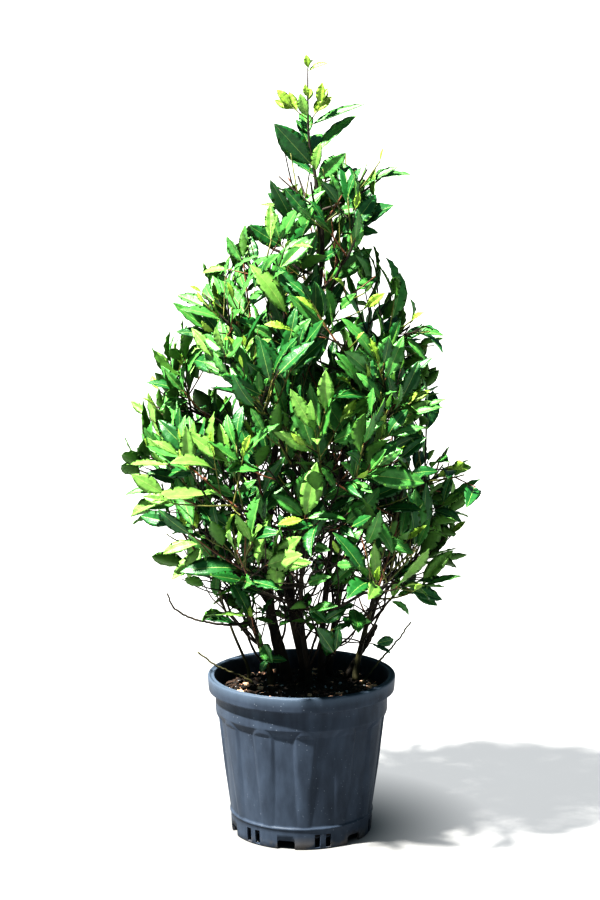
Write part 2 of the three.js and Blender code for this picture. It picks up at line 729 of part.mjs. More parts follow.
export default bayLaurel;
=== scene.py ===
import math
from collections import namedtuple
from itertools import combinations

import bpy
import numpy as np
from mathutils import Euler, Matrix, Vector


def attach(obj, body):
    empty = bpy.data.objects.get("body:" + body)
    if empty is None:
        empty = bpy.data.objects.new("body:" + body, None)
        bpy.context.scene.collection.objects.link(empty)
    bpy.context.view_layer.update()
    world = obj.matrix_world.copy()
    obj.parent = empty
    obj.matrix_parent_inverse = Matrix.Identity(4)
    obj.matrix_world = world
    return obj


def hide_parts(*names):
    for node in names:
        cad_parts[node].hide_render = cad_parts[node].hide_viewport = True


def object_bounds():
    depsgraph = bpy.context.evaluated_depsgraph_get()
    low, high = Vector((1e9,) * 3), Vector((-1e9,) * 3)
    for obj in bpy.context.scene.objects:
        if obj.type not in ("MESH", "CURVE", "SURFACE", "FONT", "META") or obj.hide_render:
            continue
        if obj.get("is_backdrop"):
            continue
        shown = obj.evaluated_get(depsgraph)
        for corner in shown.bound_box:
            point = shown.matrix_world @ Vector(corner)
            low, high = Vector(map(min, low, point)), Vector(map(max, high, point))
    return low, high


# A bay laurel bush in a ribbed nursery pot. Lengths are millimetres, but metres for the camera, in the
# materials, in the finished meshes and for the floor's drop. Named angles are degrees, but the chips' tilt
# is in radians.

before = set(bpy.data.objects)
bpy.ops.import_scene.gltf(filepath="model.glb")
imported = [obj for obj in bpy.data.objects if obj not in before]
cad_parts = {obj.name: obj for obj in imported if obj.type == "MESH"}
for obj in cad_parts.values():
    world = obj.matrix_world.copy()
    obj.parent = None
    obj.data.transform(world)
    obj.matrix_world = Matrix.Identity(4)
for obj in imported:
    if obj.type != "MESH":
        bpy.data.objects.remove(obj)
solid_low, solid_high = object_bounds()
MM = 0.001
UP = np.array([0.0, 0.0, 1.0])
GOLDEN = 137.5


def mix(a, b, t):
    return a + (b - a) * t


def unit(v):
    v = np.asarray(v, float)
    return v / np.linalg.norm(v)


def along(rows, x):
    """The value at x on a line through rows of x and value."""
    return float(np.interp(x, [row[0] for row in rows], [row[1] for row in rows]))


# Nodes of materials and of the sky


def feed(tree, socket, value):
    """Links another node's output to a socket, or gives it a number or a colour."""
    if isinstance(value, bpy.types.NodeSocket):
        tree.links.new(value, socket)
    else:
        socket.default_value = (*value, 1) if isinstance(value, tuple) else value


def add_node(tree, kind, **values):
    """A node with values for its sockets and its settings."""
    node = tree.nodes.new(kind)
    for name, value in values.items():
        if name in node.inputs:
            feed(tree, node.inputs[name], value)
        else:
            setattr(node, name, value)
    return node


def coordinates(tree, kind="Object"):
    return tree.nodes.new("ShaderNodeTexCoord").outputs[kind]


def height_of(tree, place):
    return add_node(tree, "ShaderNodeSeparateXYZ", Vector=place).outputs["Z"]


def noise_value(tree, scale, detail=3.0, stretch=None):
    """A noise over the object's own coordinates, stretched by an optional scale for each axis."""
    place = coordinates(tree)
    if stretch:
        mapping = add_node(tree, "ShaderNodeMapping", Vector=place)
        mapping.inputs["Scale"].default_value = stretch
        place = mapping.outputs["Vector"]
    return add_node(tree, "ShaderNodeTexNoise", Scale=scale, Detail=detail, Vector=place).outputs["Fac"]


def ramp(tree, value, stops):
    """A colour that follows a value through stops of place and colour."""
    node = add_node(tree, "ShaderNodeValToRGB", Fac=value)
    elements = node.color_ramp.elements
    while len(elements) < len(stops):
        elements.new(0.5)
    for element, (place, color) in zip(elements, stops):
        element.position = place
        element.color = (*color, 1)
    return node.outputs["Color"]


def grey_ramp(tree, value, first, second):
    """A grey that follows a value from one place and grey to another."""
    return ramp(tree, value, [(place, (grey, grey, grey)) for place, grey in (first, second)])


def ranged(tree, value, low, high, top=1.0):
    """How far a value is from one limit to another, as a share of a top."""
    limits = {"Value": value, "From Min": low, "From Max": high, "To Max": top}
    return add_node(tree, "ShaderNodeMapRange", **limits).outputs["Result"]


MIX_SHARE, MIX_UNDER, MIX_OVER, MIX_COLOR = 0, 6, 7, 2


def mixed(tree, share, under, over, kind="MIX"):
    """One colour laid over another by a share."""
    node = add_node(tree, "ShaderNodeMix", data_type="RGBA", blend_type=kind)
    for number, value in ((MIX_SHARE, share), (MIX_UNDER, under), (MIX_OVER, over)):
        feed(tree, node.inputs[number], value)
    return node.outputs[MIX_COLOR]


def bump(tree, shader, height, distance, strength=1.0):
    node = add_node(tree, "ShaderNodeBump", Strength=strength, Distance=distance, Height=height)
    tree.links.new(node.outputs["Normal"], shader.inputs["Normal"])


# Camera, sun and sky
CAMERA_PLACE = (0, -3.6724, 1.2875)
CAMERA_DROP = 10.316
LENS = 94.92
SENSOR = 36
PIXELS_ASIDE = -1.5
PHOTO_HEIGHT = 900
SUN_STRENGTH = 15
SUN_WIDTH = 3
SUN_COLOR = (1.0, 0.97, 0.91)
SUN_WAY = (0.5, 0.32, -1.0)
# White along the horizon, as the photo's ground behind the plant, and a dimmer blue overhead
SKY_STOPS = [(0.02, (1.0, 1.0, 1.0)), (0.06, (0.17, 0.25, 0.25)), (1.0, (0.09, 0.18, 0.27))]


def link_new(name, data):
    made = bpy.data.objects.new(name, data)
    bpy.context.collection.objects.link(made)
    return made


def make_camera():
    data = bpy.data.cameras.new("camera")
    data.sensor_width = SENSOR
    data.lens = LENS
    data.shift_x = PIXELS_ASIDE / PHOTO_HEIGHT
    camera = link_new("camera", data)
    camera.location = CAMERA_PLACE
    camera.rotation_euler = Euler((math.radians(90 - CAMERA_DROP), 0, 0))
    bpy.context.scene.camera = camera
    bpy.context.scene.view_settings.view_transform = "Standard"
    bpy.context.scene.view_settings.look = "High Contrast"


def make_sun():
    data = bpy.data.lights.new("key", "SUN")
    data.energy = SUN_STRENGTH
    data.angle = math.radians(SUN_WIDTH)
    data.color = SUN_COLOR
    link_new("key", data).rotation_euler = Vector(SUN_WAY).to_track_quat("-Z", "Y").to_euler()


def make_sky():
    world = bpy.data.worlds.new("world")
    bpy.context.scene.world = world
    world.use_nodes = True
    tree = world.node_tree
    color = ramp(tree, height_of(tree, coordinates(tree, "Generated")), SKY_STOPS)
    tree.links.new(color, tree.nodes["Background"].inputs["Color"])


# Materials
GRAIN = (1, 1, 0.35)
LEAF_SPECULAR = 0.55
LEAF_MOTTLING = 130
# Places on the noise, each with how bright a leaf's colour is there
LEAF_DARK, LEAF_LIGHT = (0.3, 0.78), (0.7, 1.2)
VEIN_SCALE = 380
VEIN_DEPTH = 0.0008
SOFT_RELIEF = 0.6
PLASTIC_COLOR = (0.05, 0.066, 0.09)
PLASTIC_SPECULAR = 0.14
PLASTIC_STREAKS = [(0.3, (0.027, 0.036, 0.052)), (0.7, (0.045, 0.060, 0.085))]
DUST_COLOR = (0.30, 0.33, 0.37)
# The lip's lighter colour: partly bleaching, partly a painted highlight where the lip faces the light
LIP_BLEACH_AND_HIGHLIGHT_COLOR = (0.090, 0.120, 0.160)
MUD_COLOR = (0.16, 0.13, 0.10)
STREAK_SCALE, SPECK_SCALE, DUST_SCALE, MUD_SCALE = 55, 140.0, 9, 30
# Places on the pattern, each with how much shows there: of specks, of patches of dust, of patches of mud
SPECKS = [(0.07, 1), (0.13, 0)]
DUST = [(0.45, 0), (0.62, 0.5)]
MUD = [(0.5, 0), (0.6, 0.4)]
PLASTIC_RELIEF_SCALE = 900
PLASTIC_RELIEF = 0.0004
# Heights in metres between which the lip's top grows lighter, partly bleaching and partly a painted
# highlight, with the most it does, and the mud at the foot fades in
LIP_BLEACH_AND_HIGHLIGHT = (0.241, 0.252, 0.5)
MUDDY = (0.022, 0.004)


def new_material(name, roughness, color):
    """A material, with its nodes and its shader."""
    made = bpy.data.materials.new(name)
    made.use_nodes = True
    shader = made.node_tree.nodes["Principled BSDF"]
    shader.inputs["Roughness"].default_value = roughness
    shader.inputs["Base Color"].default_value = (*color, 1)
    made.diffuse_color = (*color, 1)
    return made, made.node_tree, shader


def mottled(name, dark, light, scale, roughness, bump_scale, bump_distance, stretch=None):
    """A material that wanders between two colours, with a fine relief."""
    made, tree, shader = new_material(name, roughness, light)
    color = ramp(tree, noise_value(tree, scale, stretch=stretch), [(0.35, dark), (0.65, light)])
    tree.links.new(color, shader.inputs["Base Color"])
    bump(tree, shader, noise_value(tree, bump_scale, 4.0, stretch), bump_distance)
    return made


def leaf_material(name, color, roughness):
    """A leaf's face: near one colour, a little mottled, with a fine net of veins as relief."""
    made, tree, shader = new_material(name, roughness, color)
    shader.inputs["Specular IOR Level"].default_value = LEAF_SPECULAR
    stops = [(place, tuple(share * c for c in color)) for place, share in (LEAF_DARK, LEAF_LIGHT)]
    tree.links.new(ramp(tree, noise_value(tree, LEAF_MOTTLING, 3.0), stops), shader.inputs["Base Color"])
    bump(tree, shader, noise_value(tree, VEIN_SCALE, 2.0), VEIN_DEPTH, SOFT_RELIEF)
    return made


def plastic_material():
    """Dark plastic: faint streaks, patches of dust, a lip lighter at its top, partly bleached and partly a
    painted highlight, and patches of mud at the foot.
    """
    made, tree, shader = new_material("pot_plastic", 0.5, PLASTIC_COLOR)
    shader.inputs["Specular IOR Level"].default_value = PLASTIC_SPECULAR
    color = ramp(tree, noise_value(tree, STREAK_SCALE, 8.0, GRAIN), PLASTIC_STREAKS)
    cells = add_node(tree, "ShaderNodeTexVoronoi", Scale=SPECK_SCALE, Vector=coordinates(tree))
    specks = grey_ramp(tree, cells.outputs["Distance"], *SPECKS)
    dusty = grey_ramp(tree, noise_value(tree, DUST_SCALE, 6.0), *DUST)
    color = mixed(tree, mixed(tree, 1, specks, dusty, "MULTIPLY"), color, DUST_COLOR)
    height = height_of(tree, coordinates(tree))
    # The lip's top is made lighter: partly bleaching, partly a painted highlight
    color = mixed(tree, ranged(tree, height, *LIP_BLEACH_AND_HIGHLIGHT), color, LIP_BLEACH_AND_HIGHLIGHT_COLOR)
    patches = grey_ramp(tree, noise_value(tree, MUD_SCALE, 5.0), *MUD)
    mud = mixed(tree, 1, ranged(tree, height, *MUDDY), patches, "MULTIPLY")
    tree.links.new(mixed(tree, mud, color, MUD_COLOR), shader.inputs["Base Color"])
    bump(tree, shader, noise_value(tree, PLASTIC_RELIEF_SCALE, 3.0), PLASTIC_RELIEF, SOFT_RELIEF)
    return made


POT = plastic_material()
# Of each: the dark and the light colour, their scale, the roughness, and the relief's scale and depth
SOIL = mottled("soil_mix", (0.004, 0.003, 0.002), (0.016, 0.010, 0.007), 160, 0.95, 420, 0.002)
# Tan chips brighter than their own colour: partly painted light for the sun on them
CHIP_TAN = mottled("chip_tan", (0.52, 0.26, 0.17), (0.95, 0.64, 0.45), 240, 0.85, 500, 0.0008)
CHIP_BROWN = mottled("chip_brown", (0.010, 0.007, 0.005), (0.045, 0.024, 0.014), 240, 0.9, 500, 0.0008)
GRIT = mottled("grit_pale", (0.25, 0.27, 0.30), (0.55, 0.57, 0.60), 300, 0.8, 500, 0.0006)
# Bark darker than its own dark brown: partly painted shade for the crown's shade over the stems
BARK = mottled("bark_brown", (0.007, 0.005, 0.003), (0.030, 0.021, 0.013), 90, 0.8, 260, 0.0012, GRAIN)
# Olive bark, likewise darkened: partly painted shade
OLIVE_DARK, OLIVE_LIGHT = (0.018, 0.018, 0.008), (0.085, 0.078, 0.030)
BARK_OLIVE = mottled("bark_olive", OLIVE_DARK, OLIVE_LIGHT, 70, 0.7, 240, 0.0008, GRAIN)
TWIG_BROWN = mottled("twig_brown", (0.008, 0.006, 0.004), (0.035, 0.022, 0.013), 150, 0.7, 500, 0.0004)
TWIG_GREEN = mottled("twig_green", (0.055, 0.070, 0.014), (0.17, 0.17, 0.040), 150, 0.55, 500, 0.0003)
TWIG_RED = mottled("twig_red", (0.085, 0.028, 0.016), (0.21, 0.085, 0.040), 150, 0.55, 500, 0.0003)

# Of each: the colour and the roughness
LEAF_MATERIALS = [
    leaf_material("leaf_deep", (0.015, 0.108, 0.022), 0.44),
    leaf_material("leaf_mid", (0.062, 0.225, 0.046), 0.48),
    leaf_material("leaf_fresh", (0.135, 0.290, 0.055), 0.52),
    leaf_material("leaf_young", (0.19, 0.32, 0.035), 0.52),
    leaf_material("leaf_under", (0.055, 0.155, 0.020), 0.6),
    leaf_material("leaf_young_under", (0.17, 0.30, 0.050), 0.55),
    leaf_material("leaf_rib", (0.26, 0.36, 0.10), 0.45),
    leaf_material("leaf_stalk", (0.21, 0.095, 0.040), 0.5),
]
DEEP, MID, FRESH, YOUNG, UNDER, YOUNG_UNDER, RIB, STALK = range(8)

# Meshes from arrays


def add_object(name, vertices, faces, materials, indices=None, smooth=True):
    """A mesh object from corners in millimetres and faces as lists of corners, each with its material."""
    mesh = bpy.data.meshes.new(name)
    mesh.from_pydata((np.asarray(vertices) * MM).tolist(), [], faces)
    for item in materials:
        mesh.materials.append(item)
    if indices is not None:
        mesh.polygons.foreach_set("material_index", np.asarray(indices, np.int32))
    mesh.polygons.foreach_set("use_smooth", np.full(len(mesh.polygons), smooth))
    mesh.update()
    return link_new(name, mesh)


def ring_faces(rings, sides, offset=0):
    """The faces of a closed tube of rings, its two ends included."""
    i = np.arange(rings - 1)[:, None] * sides
    j = np.arange(sides)[None, :]
    nxt = (j + 1) % sides
    quads = np.stack([i + j, i + nxt, i + nxt + sides, i + j + sides], axis=-1).reshape(-1, 4) + offset
    last = (rings - 1) * sides + offset
    ends = [list(range(offset + sides - 1, offset - 1, -1)), list(range(last, last + sides))]
    return quads.tolist() + ends


class Joined:
    """Gathers many closed pieces into one mesh."""

    def __init__(self):
        self.vertices = []
        self.faces = []
        self.indices = []
        self.count = 0

    def add(self, vertices, faces, index):
        base = self.count
        self.vertices.append(np.asarray(vertices, float))
        self.faces.extend([[corner + base for corner in face] for face in faces])
        self.indices.extend([index] * len(faces))
        self.count += len(vertices)

    def object(self, name, materials, smooth=True):
        return add_object(name, np.concatenate(self.vertices), self.faces, materials, self.indices, smooth)


def frames_along(points):
    """For each point of a line, its tangent and two directions across it that don't spin."""
    tangents = np.gradient(points, axis=0)
    tangents /= np.linalg.norm(tangents, axis=1)[:, None]
    across = np.array([1.0, 0.0, 0.0])
    if abs(tangents[0] @ across) > 0.9:
        across = np.array([0.0, 1.0, 0.0])
    sides = []
    for tangent in tangents:
        across = unit(across - tangent * (across @ tangent))
        sides.append(across)
    sides = np.array(sides)
    return tangents, sides, np.cross(tangents, sides)


def tube(points, radii, sides, relief=1.0):
    """The corners and faces of a tube along a line; relief scales the radius by ring and by side."""
    points = np.asarray(points, float)
    _, first, second = frames_along(points)
    angles = 2 * np.pi * np.arange(sides) / sides
    r = np.asarray(radii, float)[:, None] * relief
    rings = (
        points[:, None, :]
        + (r * np.cos(angles))[..., None] * first[:, None, :]
        + (r * np.sin(angles))[..., None] * second[:, None, :]
    )
    return rings.reshape(-1, 3), ring_faces(len(points), sides)


# The pot
POT_HEIGHT = 256.5
RIM_RADIUS = 150
RIM_INNER_RADIUS = 139
LIP_LOW = 232.5
WALL_TOP_RADIUS = 137.5
FOOT_RADIUS = 112.5
WALL = 2.6
FLUTES = 12
FLUTE_TURN = -102.5
PANEL_DEPTH = 6
PILLAR_HALF_WIDTH = 20
PILLAR_POWER = 2.8
PILLAR_SOFTNESS = 0.08
RISE_LIMIT = 40
BEAD_HEIGHT = 33
CHANNEL_HEIGHT = 16
CHANNEL_INNER_RADIUS = 82
FLOOR = 3
RECESS_TOP = 200
PANEL_TOP = 187
WALL_LOW = BEAD_HEIGHT + 3
CREST = [(WALL_LOW, FOOT_RADIUS + 1.5), (RECESS_TOP, WALL_TOP_RADIUS)]
PANEL = [
    (WALL_LOW, FOOT_RADIUS + 0.5),
    (PANEL_TOP, along(CREST, PANEL_TOP) - PANEL_DEPTH),
    (RECESS_TOP, WALL_TOP_RADIUS),
]
POT_COLUMNS = 576
# The lip's top, out from its inner edge and down from the pot's top, and its side, in from the rim and up
LIP_TOP = [(0, 1.9), (0.7, 0.6), (1.9, 0.2), (3.0, 0.6), (3.7, 1.6), (5.4, 1.8)]
LIP_TOP += [(6.6, 1.1), (7.6, 0.2), (8.9, 0), (10.2, 0.6), (10.9, 2.1), (11.0, 4.5)]
LIP_SIDE = [(0.5, 11.5), (1.1, 3.0), (1.5, 0.7), (2.4, 0)]
# The bead over the foot, out from the foot's radius and up from the bead's height
BEAD = [(1.7, 2.4), (2.7, 1.6), (3.0, 0.4), (2.8, -0.8), (1.7, -1.8), (1.2, -8)]
# Heights on the fluted wall, closer where it curves into the recess under the lip
WALL_HEIGHTS = [216, 203, 200.6, 199.7, 198.8, 197.6, 196.2, 194.7, 193.2, 191.6, 190, 188.6, 187.5]
WALL_HEIGHTS += [186.7, 185.6, 182, *np.arange(176, WALL_LOW + 6, -8.0), WALL_LOW + 3, WALL_LOW + 0.8]
# The cuts through the foot: width, lowest and highest place, chamfer, and reach to each side of the wall
FOOT_GAP = (28, -5, 14, 3, 8)
DRAIN_SLOT = (8.5, 3, 24, 0.8, 6)
DRAIN_ASIDE = 9


def wall_radius(z, from_pillar):
    """The fluted wall's radius: panels, and pillars between them, that meet in a narrow fillet."""
    side = np.abs(np.radians(from_pillar)) * along(CREST, z)
    pillar = along(CREST, z) - PANEL_DEPTH * (side / PILLAR_HALF_WIDTH) ** PILLAR_POWER
    panel = along(PANEL, z)
    rise = np.clip((pillar - panel) / PILLAR_SOFTNESS, -RISE_LIMIT, RISE_LIMIT)
    return panel + PILLAR_SOFTNESS * np.log1p(np.exp(rise))


def pot_profile():
    """Rows of radius and height, from the middle of the floor inside, over the rim, to the middle below.
    None stands for the fluted wall's radius."""
    inside = [(CHANNEL_INNER_RADIUS - 2, FLOOR), (CHANNEL_INNER_RADIUS + 2, CHANNEL_HEIGHT + FLOOR)]
    inside += [(FOOT_RADIUS - WALL, CHANNEL_HEIGHT + FLOOR + 0.5)]
    inside += [(along(PANEL, PANEL_TOP) - WALL, PANEL_TOP)]
    inside += [(WALL_TOP_RADIUS - WALL, RECESS_TOP + 6), (RIM_INNER_RADIUS - 1.8, LIP_LOW - 0.5)]
    inside += [(RIM_INNER_RADIUS - 0.4, POT_HEIGHT - 5.5)]
    lip = [(RIM_INNER_RADIUS + out, POT_HEIGHT - down) for out, down in LIP_TOP]
    lip += [(RIM_RADIUS - inward, LIP_LOW + up) for inward, up in LIP_SIDE]
    lip += [(WALL_TOP_RADIUS + 1.1, LIP_LOW), (WALL_TOP_RADIUS + 0.4, LIP_LOW - 0.9)]
    foot = [(FOOT_RADIUS + out, BEAD_HEIGHT + up) for out, up in BEAD]
    foot += [(FOOT_RADIUS + 0.6, 10), (FOOT_RADIUS, 1.2), (FOOT_RADIUS - 1.0, 0)]
    foot += [(FOOT_RADIUS - WALL - 1.5, 0), (FOOT_RADIUS - WALL, CHANNEL_HEIGHT)]
    foot += [(CHANNEL_INNER_RADIUS + 4, CHANNEL_HEIGHT), (CHANNEL_INNER_RADIUS, 0)]
    return inside + lip + [(None, z) for z in WALL_HEIGHTS] + foot


def foot_cutter(joined, degrees, width, low, high, chamfer, reach):
    """A block with chamfered top corners that cuts outward through the foot at an angle."""
    half = width / 2
    outline = [(-half, low), (half, low), (half, high - chamfer), (half - chamfer, high)]
    outline += [(chamfer - half, high), (-half, high - chamfer)]
    a = math.radians(degrees)
    out = np.array([math.cos(a), math.sin(a), 0])
    side = np.array([-math.sin(a), math.cos(a), 0])
    rings = [
        [out * r + side * x + UP * z for x, z in outline]
        for r in (FOOT_RADIUS - reach, FOOT_RADIUS + reach)
    ]
    joined.add(np.concatenate(rings), ring_faces(2, len(outline)), 0)


def apply_modifiers(piece):
    """Gives a piece the mesh that its modifiers make, and takes them off."""
    evaluated = piece.evaluated_get(bpy.context.evaluated_depsgraph_get())
    mesh = bpy.data.meshes.new_from_object(evaluated)
    piece.modifiers.clear()
    piece.data = mesh


def make_pot():
    rows = pot_profile()
    angles = FLUTE_TURN + 360 / POT_COLUMNS * np.arange(POT_COLUMNS)
    from_pillar = (angles - FLUTE_TURN) % (360 / FLUTES) - 180 / FLUTES
    cos, sin = np.cos(np.radians(angles)), np.sin(np.radians(angles))
    rings = []
    for radius, z in rows:
        r = wall_radius(z, from_pillar) if radius is None else np.full(POT_COLUMNS, float(radius))
        rings.append(np.stack([r * cos, r * sin, np.full(POT_COLUMNS, float(z))], axis=-1))
    pot = add_object("pot_shell", np.concatenate(rings), ring_faces(len(rows), POT_COLUMNS), [POT])
    cutters = Joined()
    aside = math.degrees(DRAIN_ASIDE / FOOT_RADIUS)
    for i in range(FLUTES):
        middle = FLUTE_TURN + 360 / FLUTES * i
        if i % 2 == 0:
            foot_cutter(cutters, middle, *FOOT_GAP)
        else:
            foot_cutter(cutters, middle - aside, *DRAIN_SLOT)
            foot_cutter(cutters, middle + aside, *DRAIN_SLOT)
    knife = cutters.object("pot_knife", [POT], smooth=False)
    cut = pot.modifiers.new("cut", "BOOLEAN")
    cut.object = knife
    cut.operation = "DIFFERENCE"
    cut.solver = "EXACT"
    apply_modifiers(pot)
    bpy.data.objects.remove(knife)
    return pot


# The soil, with chips of bark and grains of grit on it
SOIL_TOP = 234
SOIL_EDGE = 226
SOIL_FLAT_RADIUS = 102
SOIL_WALL_RADIUS = 136.2
SOIL_COLUMNS = 144
SOIL_LUMPS = 0.9
SOIL_SINK = 1.2
# Rows of radius and height up the side, just inside the pot, and then the radii of the rings across the top
SOIL_SIDE = [(77.5, 3.4), (83.0, 19.4), (109.0, 19.9), (126.5, 187), (134.2, 206), (135.8, 222)]
SOIL_RINGS = [136.0, 134.5, 131, 127, 122, 117, 112, 107, 102, 97, 92, 86]
SOIL_RINGS += [80, 74, 67, 60, 53, 46, 39, 32, 25, 18, 11, 5]
CHIP_REACH = 134
CHIP_HEAPS = [(-78, -62), (-44, -92), (16, -100), (-96, -20), (64, -74), (40, 96), (-60, 84), (104, 30)]
HEAPED_SHARE = 0.7
HEAP_SPREAD = 15
FOOT_CLEARANCE = 5
CHIP_SUNK = 0.35
# Of each kind: the count, and the smallest and largest size
CHIP_KINDS = [(170, 2.2, 9.0), (620, 2.0, 8.0), (170, 0.9, 3.2)]
TAN, GRAINS = 0, 2
CHIP_WIDTH, CHIP_THICKNESS = (0.45, 0.8), (0.25, 0.5)
GRAIN_WIDTH, GRAIN_THICKNESS = (0.7, 1.0), (0.6, 0.9)
CHIP_TILT = (-0.5, 0.5)
CHIP_RUGGED = (0.72, 1.25)


def soil_height(x, y):
    """The soil's surface: flat under the stems, falling to the wall, with lumps."""
    level = np.interp(np.hypot(x, y), [SOIL_FLAT_RADIUS, SOIL_WALL_RADIUS], [SOIL_TOP, SOIL_EDGE])
    lumps = (
        np.sin(0.21 * x + 1.3 * np.sin(0.13 * y))
        + np.sin(0.19 * y + 2.1 + 1.1 * np.sin(0.17 * x))
        + 0.6 * np.sin(0.43 * x + 0.37 * y)
        + 0.6 * np.sin(0.51 * y - 0.33 * x + 1.0)
        + 0.4 * np.sin(0.93 * x + 0.2) * np.sin(0.87 * y)
    )
    return level + SOIL_LUMPS * lumps - SOIL_SINK


def make_soil():
    angles = 2 * np.pi * np.arange(SOIL_COLUMNS) / SOIL_COLUMNS
    cos, sin = np.cos(angles), np.sin(angles)
    stack = [np.stack([r * cos, r * sin, np.full(SOIL_COLUMNS, z)], -1) for r, z in SOIL_SIDE]
    stack += [np.stack([r * cos, r * sin, soil_height(r * cos, r * sin)], -1) for r in SOIL_RINGS]
    return add_object("soil_body", np.concatenate(stack), ring_faces(len(stack), SOIL_COLUMNS), [SOIL])


def icosahedron():
    """Corners at radius 1 and the faces between corners an edge apart, each turned to face outward."""
    golden = (1 + 5**0.5) / 2
    longest_edge = 2.1
    first = [(-1, golden, 0), (1, golden, 0), (-1, -golden, 0), (1, -golden, 0)]
    corners = np.concatenate([np.roll(first, turn, axis=1) for turn in range(3)])
    faces = []
    for face in combinations(range(len(corners)), 3):
        a, b, c = corners[list(face)]
        if max(np.linalg.norm(side) for side in (a - b, b - c, c - a)) < longest_edge:
            faces.append(list(face if np.cross(a, b) @ c > 0 else face[::-1]))
    return corners / math.hypot(1, golden), faces


def make_chips(feet):
    """Chips and grains that lie on the soil, clear of the stems' feet."""
    rng = np.random.default_rng(11)
    corners, faces = icosahedron()
    chips = Joined()
    for kind, (count, small, large) in enumerate(CHIP_KINDS):
        for _ in range(count):
            r, turn = CHIP_REACH * math.sqrt(rng.random()), 2 * math.pi * rng.random()
            x, y = r * math.cos(turn), r * math.sin(turn)
            if kind == TAN and rng.random() < HEAPED_SHARE:
                x, y = np.array(CHIP_HEAPS[rng.integers(len(CHIP_HEAPS))]) + rng.normal(0, HEAP_SPREAD, 2)
                r = math.hypot(x, y)
            if any(math.hypot(x - fx, y - fy) < radius + FOOT_CLEARANCE for fx, fy, radius in feet):
                continue
            size = mix(small, large, rng.random() ** 1.6)
            if r + size > CHIP_REACH:
                continue
            shape = np.array([1.0, rng.uniform(*CHIP_WIDTH), rng.uniform(*CHIP_THICKNESS)]) * size
            if kind == GRAINS:
                shape = np.array([1.0, rng.uniform(*GRAIN_WIDTH), rng.uniform(*GRAIN_THICKNESS)]) * size
            lying = Euler((rng.uniform(*CHIP_TILT), rng.uniform(*CHIP_TILT), rng.uniform(0, 6.28)))
            rugged = rng.uniform(*CHIP_RUGGED, (len(corners), 1))
            points = corners * rugged * shape @ np.array(lying.to_matrix()).T
            points += (x, y, float(soil_height(x, y)) + CHIP_SUNK * shape[2])
            chips.add(points, faces, kind)
    return chips.object("soil_chips", [CHIP_TAN, CHIP_BROWN, GRIT], smooth=False)


# The crown's outline, the limbs and the masses: the same routes and rule as the solids follow, drawn finer
GAP = 0.3
HEIGHT = 1235
# Rows of height, and how far the crown reaches to the left and to the right
OUTLINE = [(290, 95, 130), (340, 150, 175), (380, 206, 205), (417, 215, 256), (470, 246, 256)]
OUTLINE += [(523, 284, 260), (576, 293, 286), (610, 282, 240), (700, 240, 228), (810, 212, 218)]
OUTLINE += [(851, 203, 162), (900, 150, 152), (942, 118, 132), (1004, 64, 140), (1045, 56, 150)]
OUTLINE += [(1088, 50, 84), (1156, 40, 96), (1215, 12, 44), (HEIGHT, 6, 28)]
CROWN = np.array(OUTLINE, float)

STEM_TAPER = 0.8
STEM_FLARE = 0.35
FLARE_LENGTH = 16
FOOT_STRAIGHT = 14
LEADER_STEPS = 13
STEM_STEPS = 8
FINE_STEP = 4.0
# Of each limb: where it stands on the soil and the points it passes, and its radius at its foot and its tip
STEMS = {
    "stem_leader": (
        [(6, 46), (-18, 38, 380), (2, 20, 600), (24, 6, 830), (32, 0, 960), (18, 0, 1070)],
        (8.5, 2.4),
    ),
    "stem_second": ([(-26, 42), (-50, 28, 360), (-50, 16, 540), (-32, 0, 700), (-26, -6, 850)], (9, 2.6)),
    "stem_left": ([(-50, 16), (-76, 4, 330), (-112, -18, 440), (-142, -34, 540)], (5.2, 2.6)),
    "stem_centre_right": (
        [(32, 44), (36, 36, 350), (52, 24, 500), (72, 8, 660), (84, -2, 770)],
        (5.4, 2.4),
    ),
    "stem_right": ([(88, 42), (108, 34, 340), (138, 16, 450), (160, -2, 560)], (4.8, 2.4)),
    "stem_front": ([(12, 8), (0, -22, 350), (2, -70, 470), (14, -104, 600)], (5, 2.4)),
    "stem_back_left": ([(-34, 76), (-52, 92, 350), (-70, 112, 480), (-84, 118, 620)], (6, 2.6)),
    "stem_back_right": ([(44, 78), (60, 96, 350), (82, 108, 480), (104, 106, 610)], (6, 2.6)),
    "stem_thin_left": ([(-86, 48), (-110, 46, 310), (-128, 40, 365)], (2.4, 1.8)),
}
BARE = {
    "stub_right": ([(72, 56), (92, 58, 268), (112, 52, 304), (119, 50, 322)], (5, 4.4)),
    "whip_right": ([(98, 22), (122, 34, 262), (148, 40, 290), (176, 40, 330)], (1.8, 1.1)),
    "sprig_left": ([(-78, 22), (-104, 16, 250), (-138, 12, 266), (-166, 10, 288)], (1.8, 1.3)),
}
BARE_STEPS = 6
BARE_FLARE = 0.6
# The dead side branch: where it leaves stem_left, as a share of the stem, then its route and radius
BARE_SHARE = 0.34
BARE_ROUTE = [(-120, -16, 340), (-180, -26, 356), (-204, -28, 374), (-212, -28, 394)]
BARE_RADIUS = (2.4, 1.2)

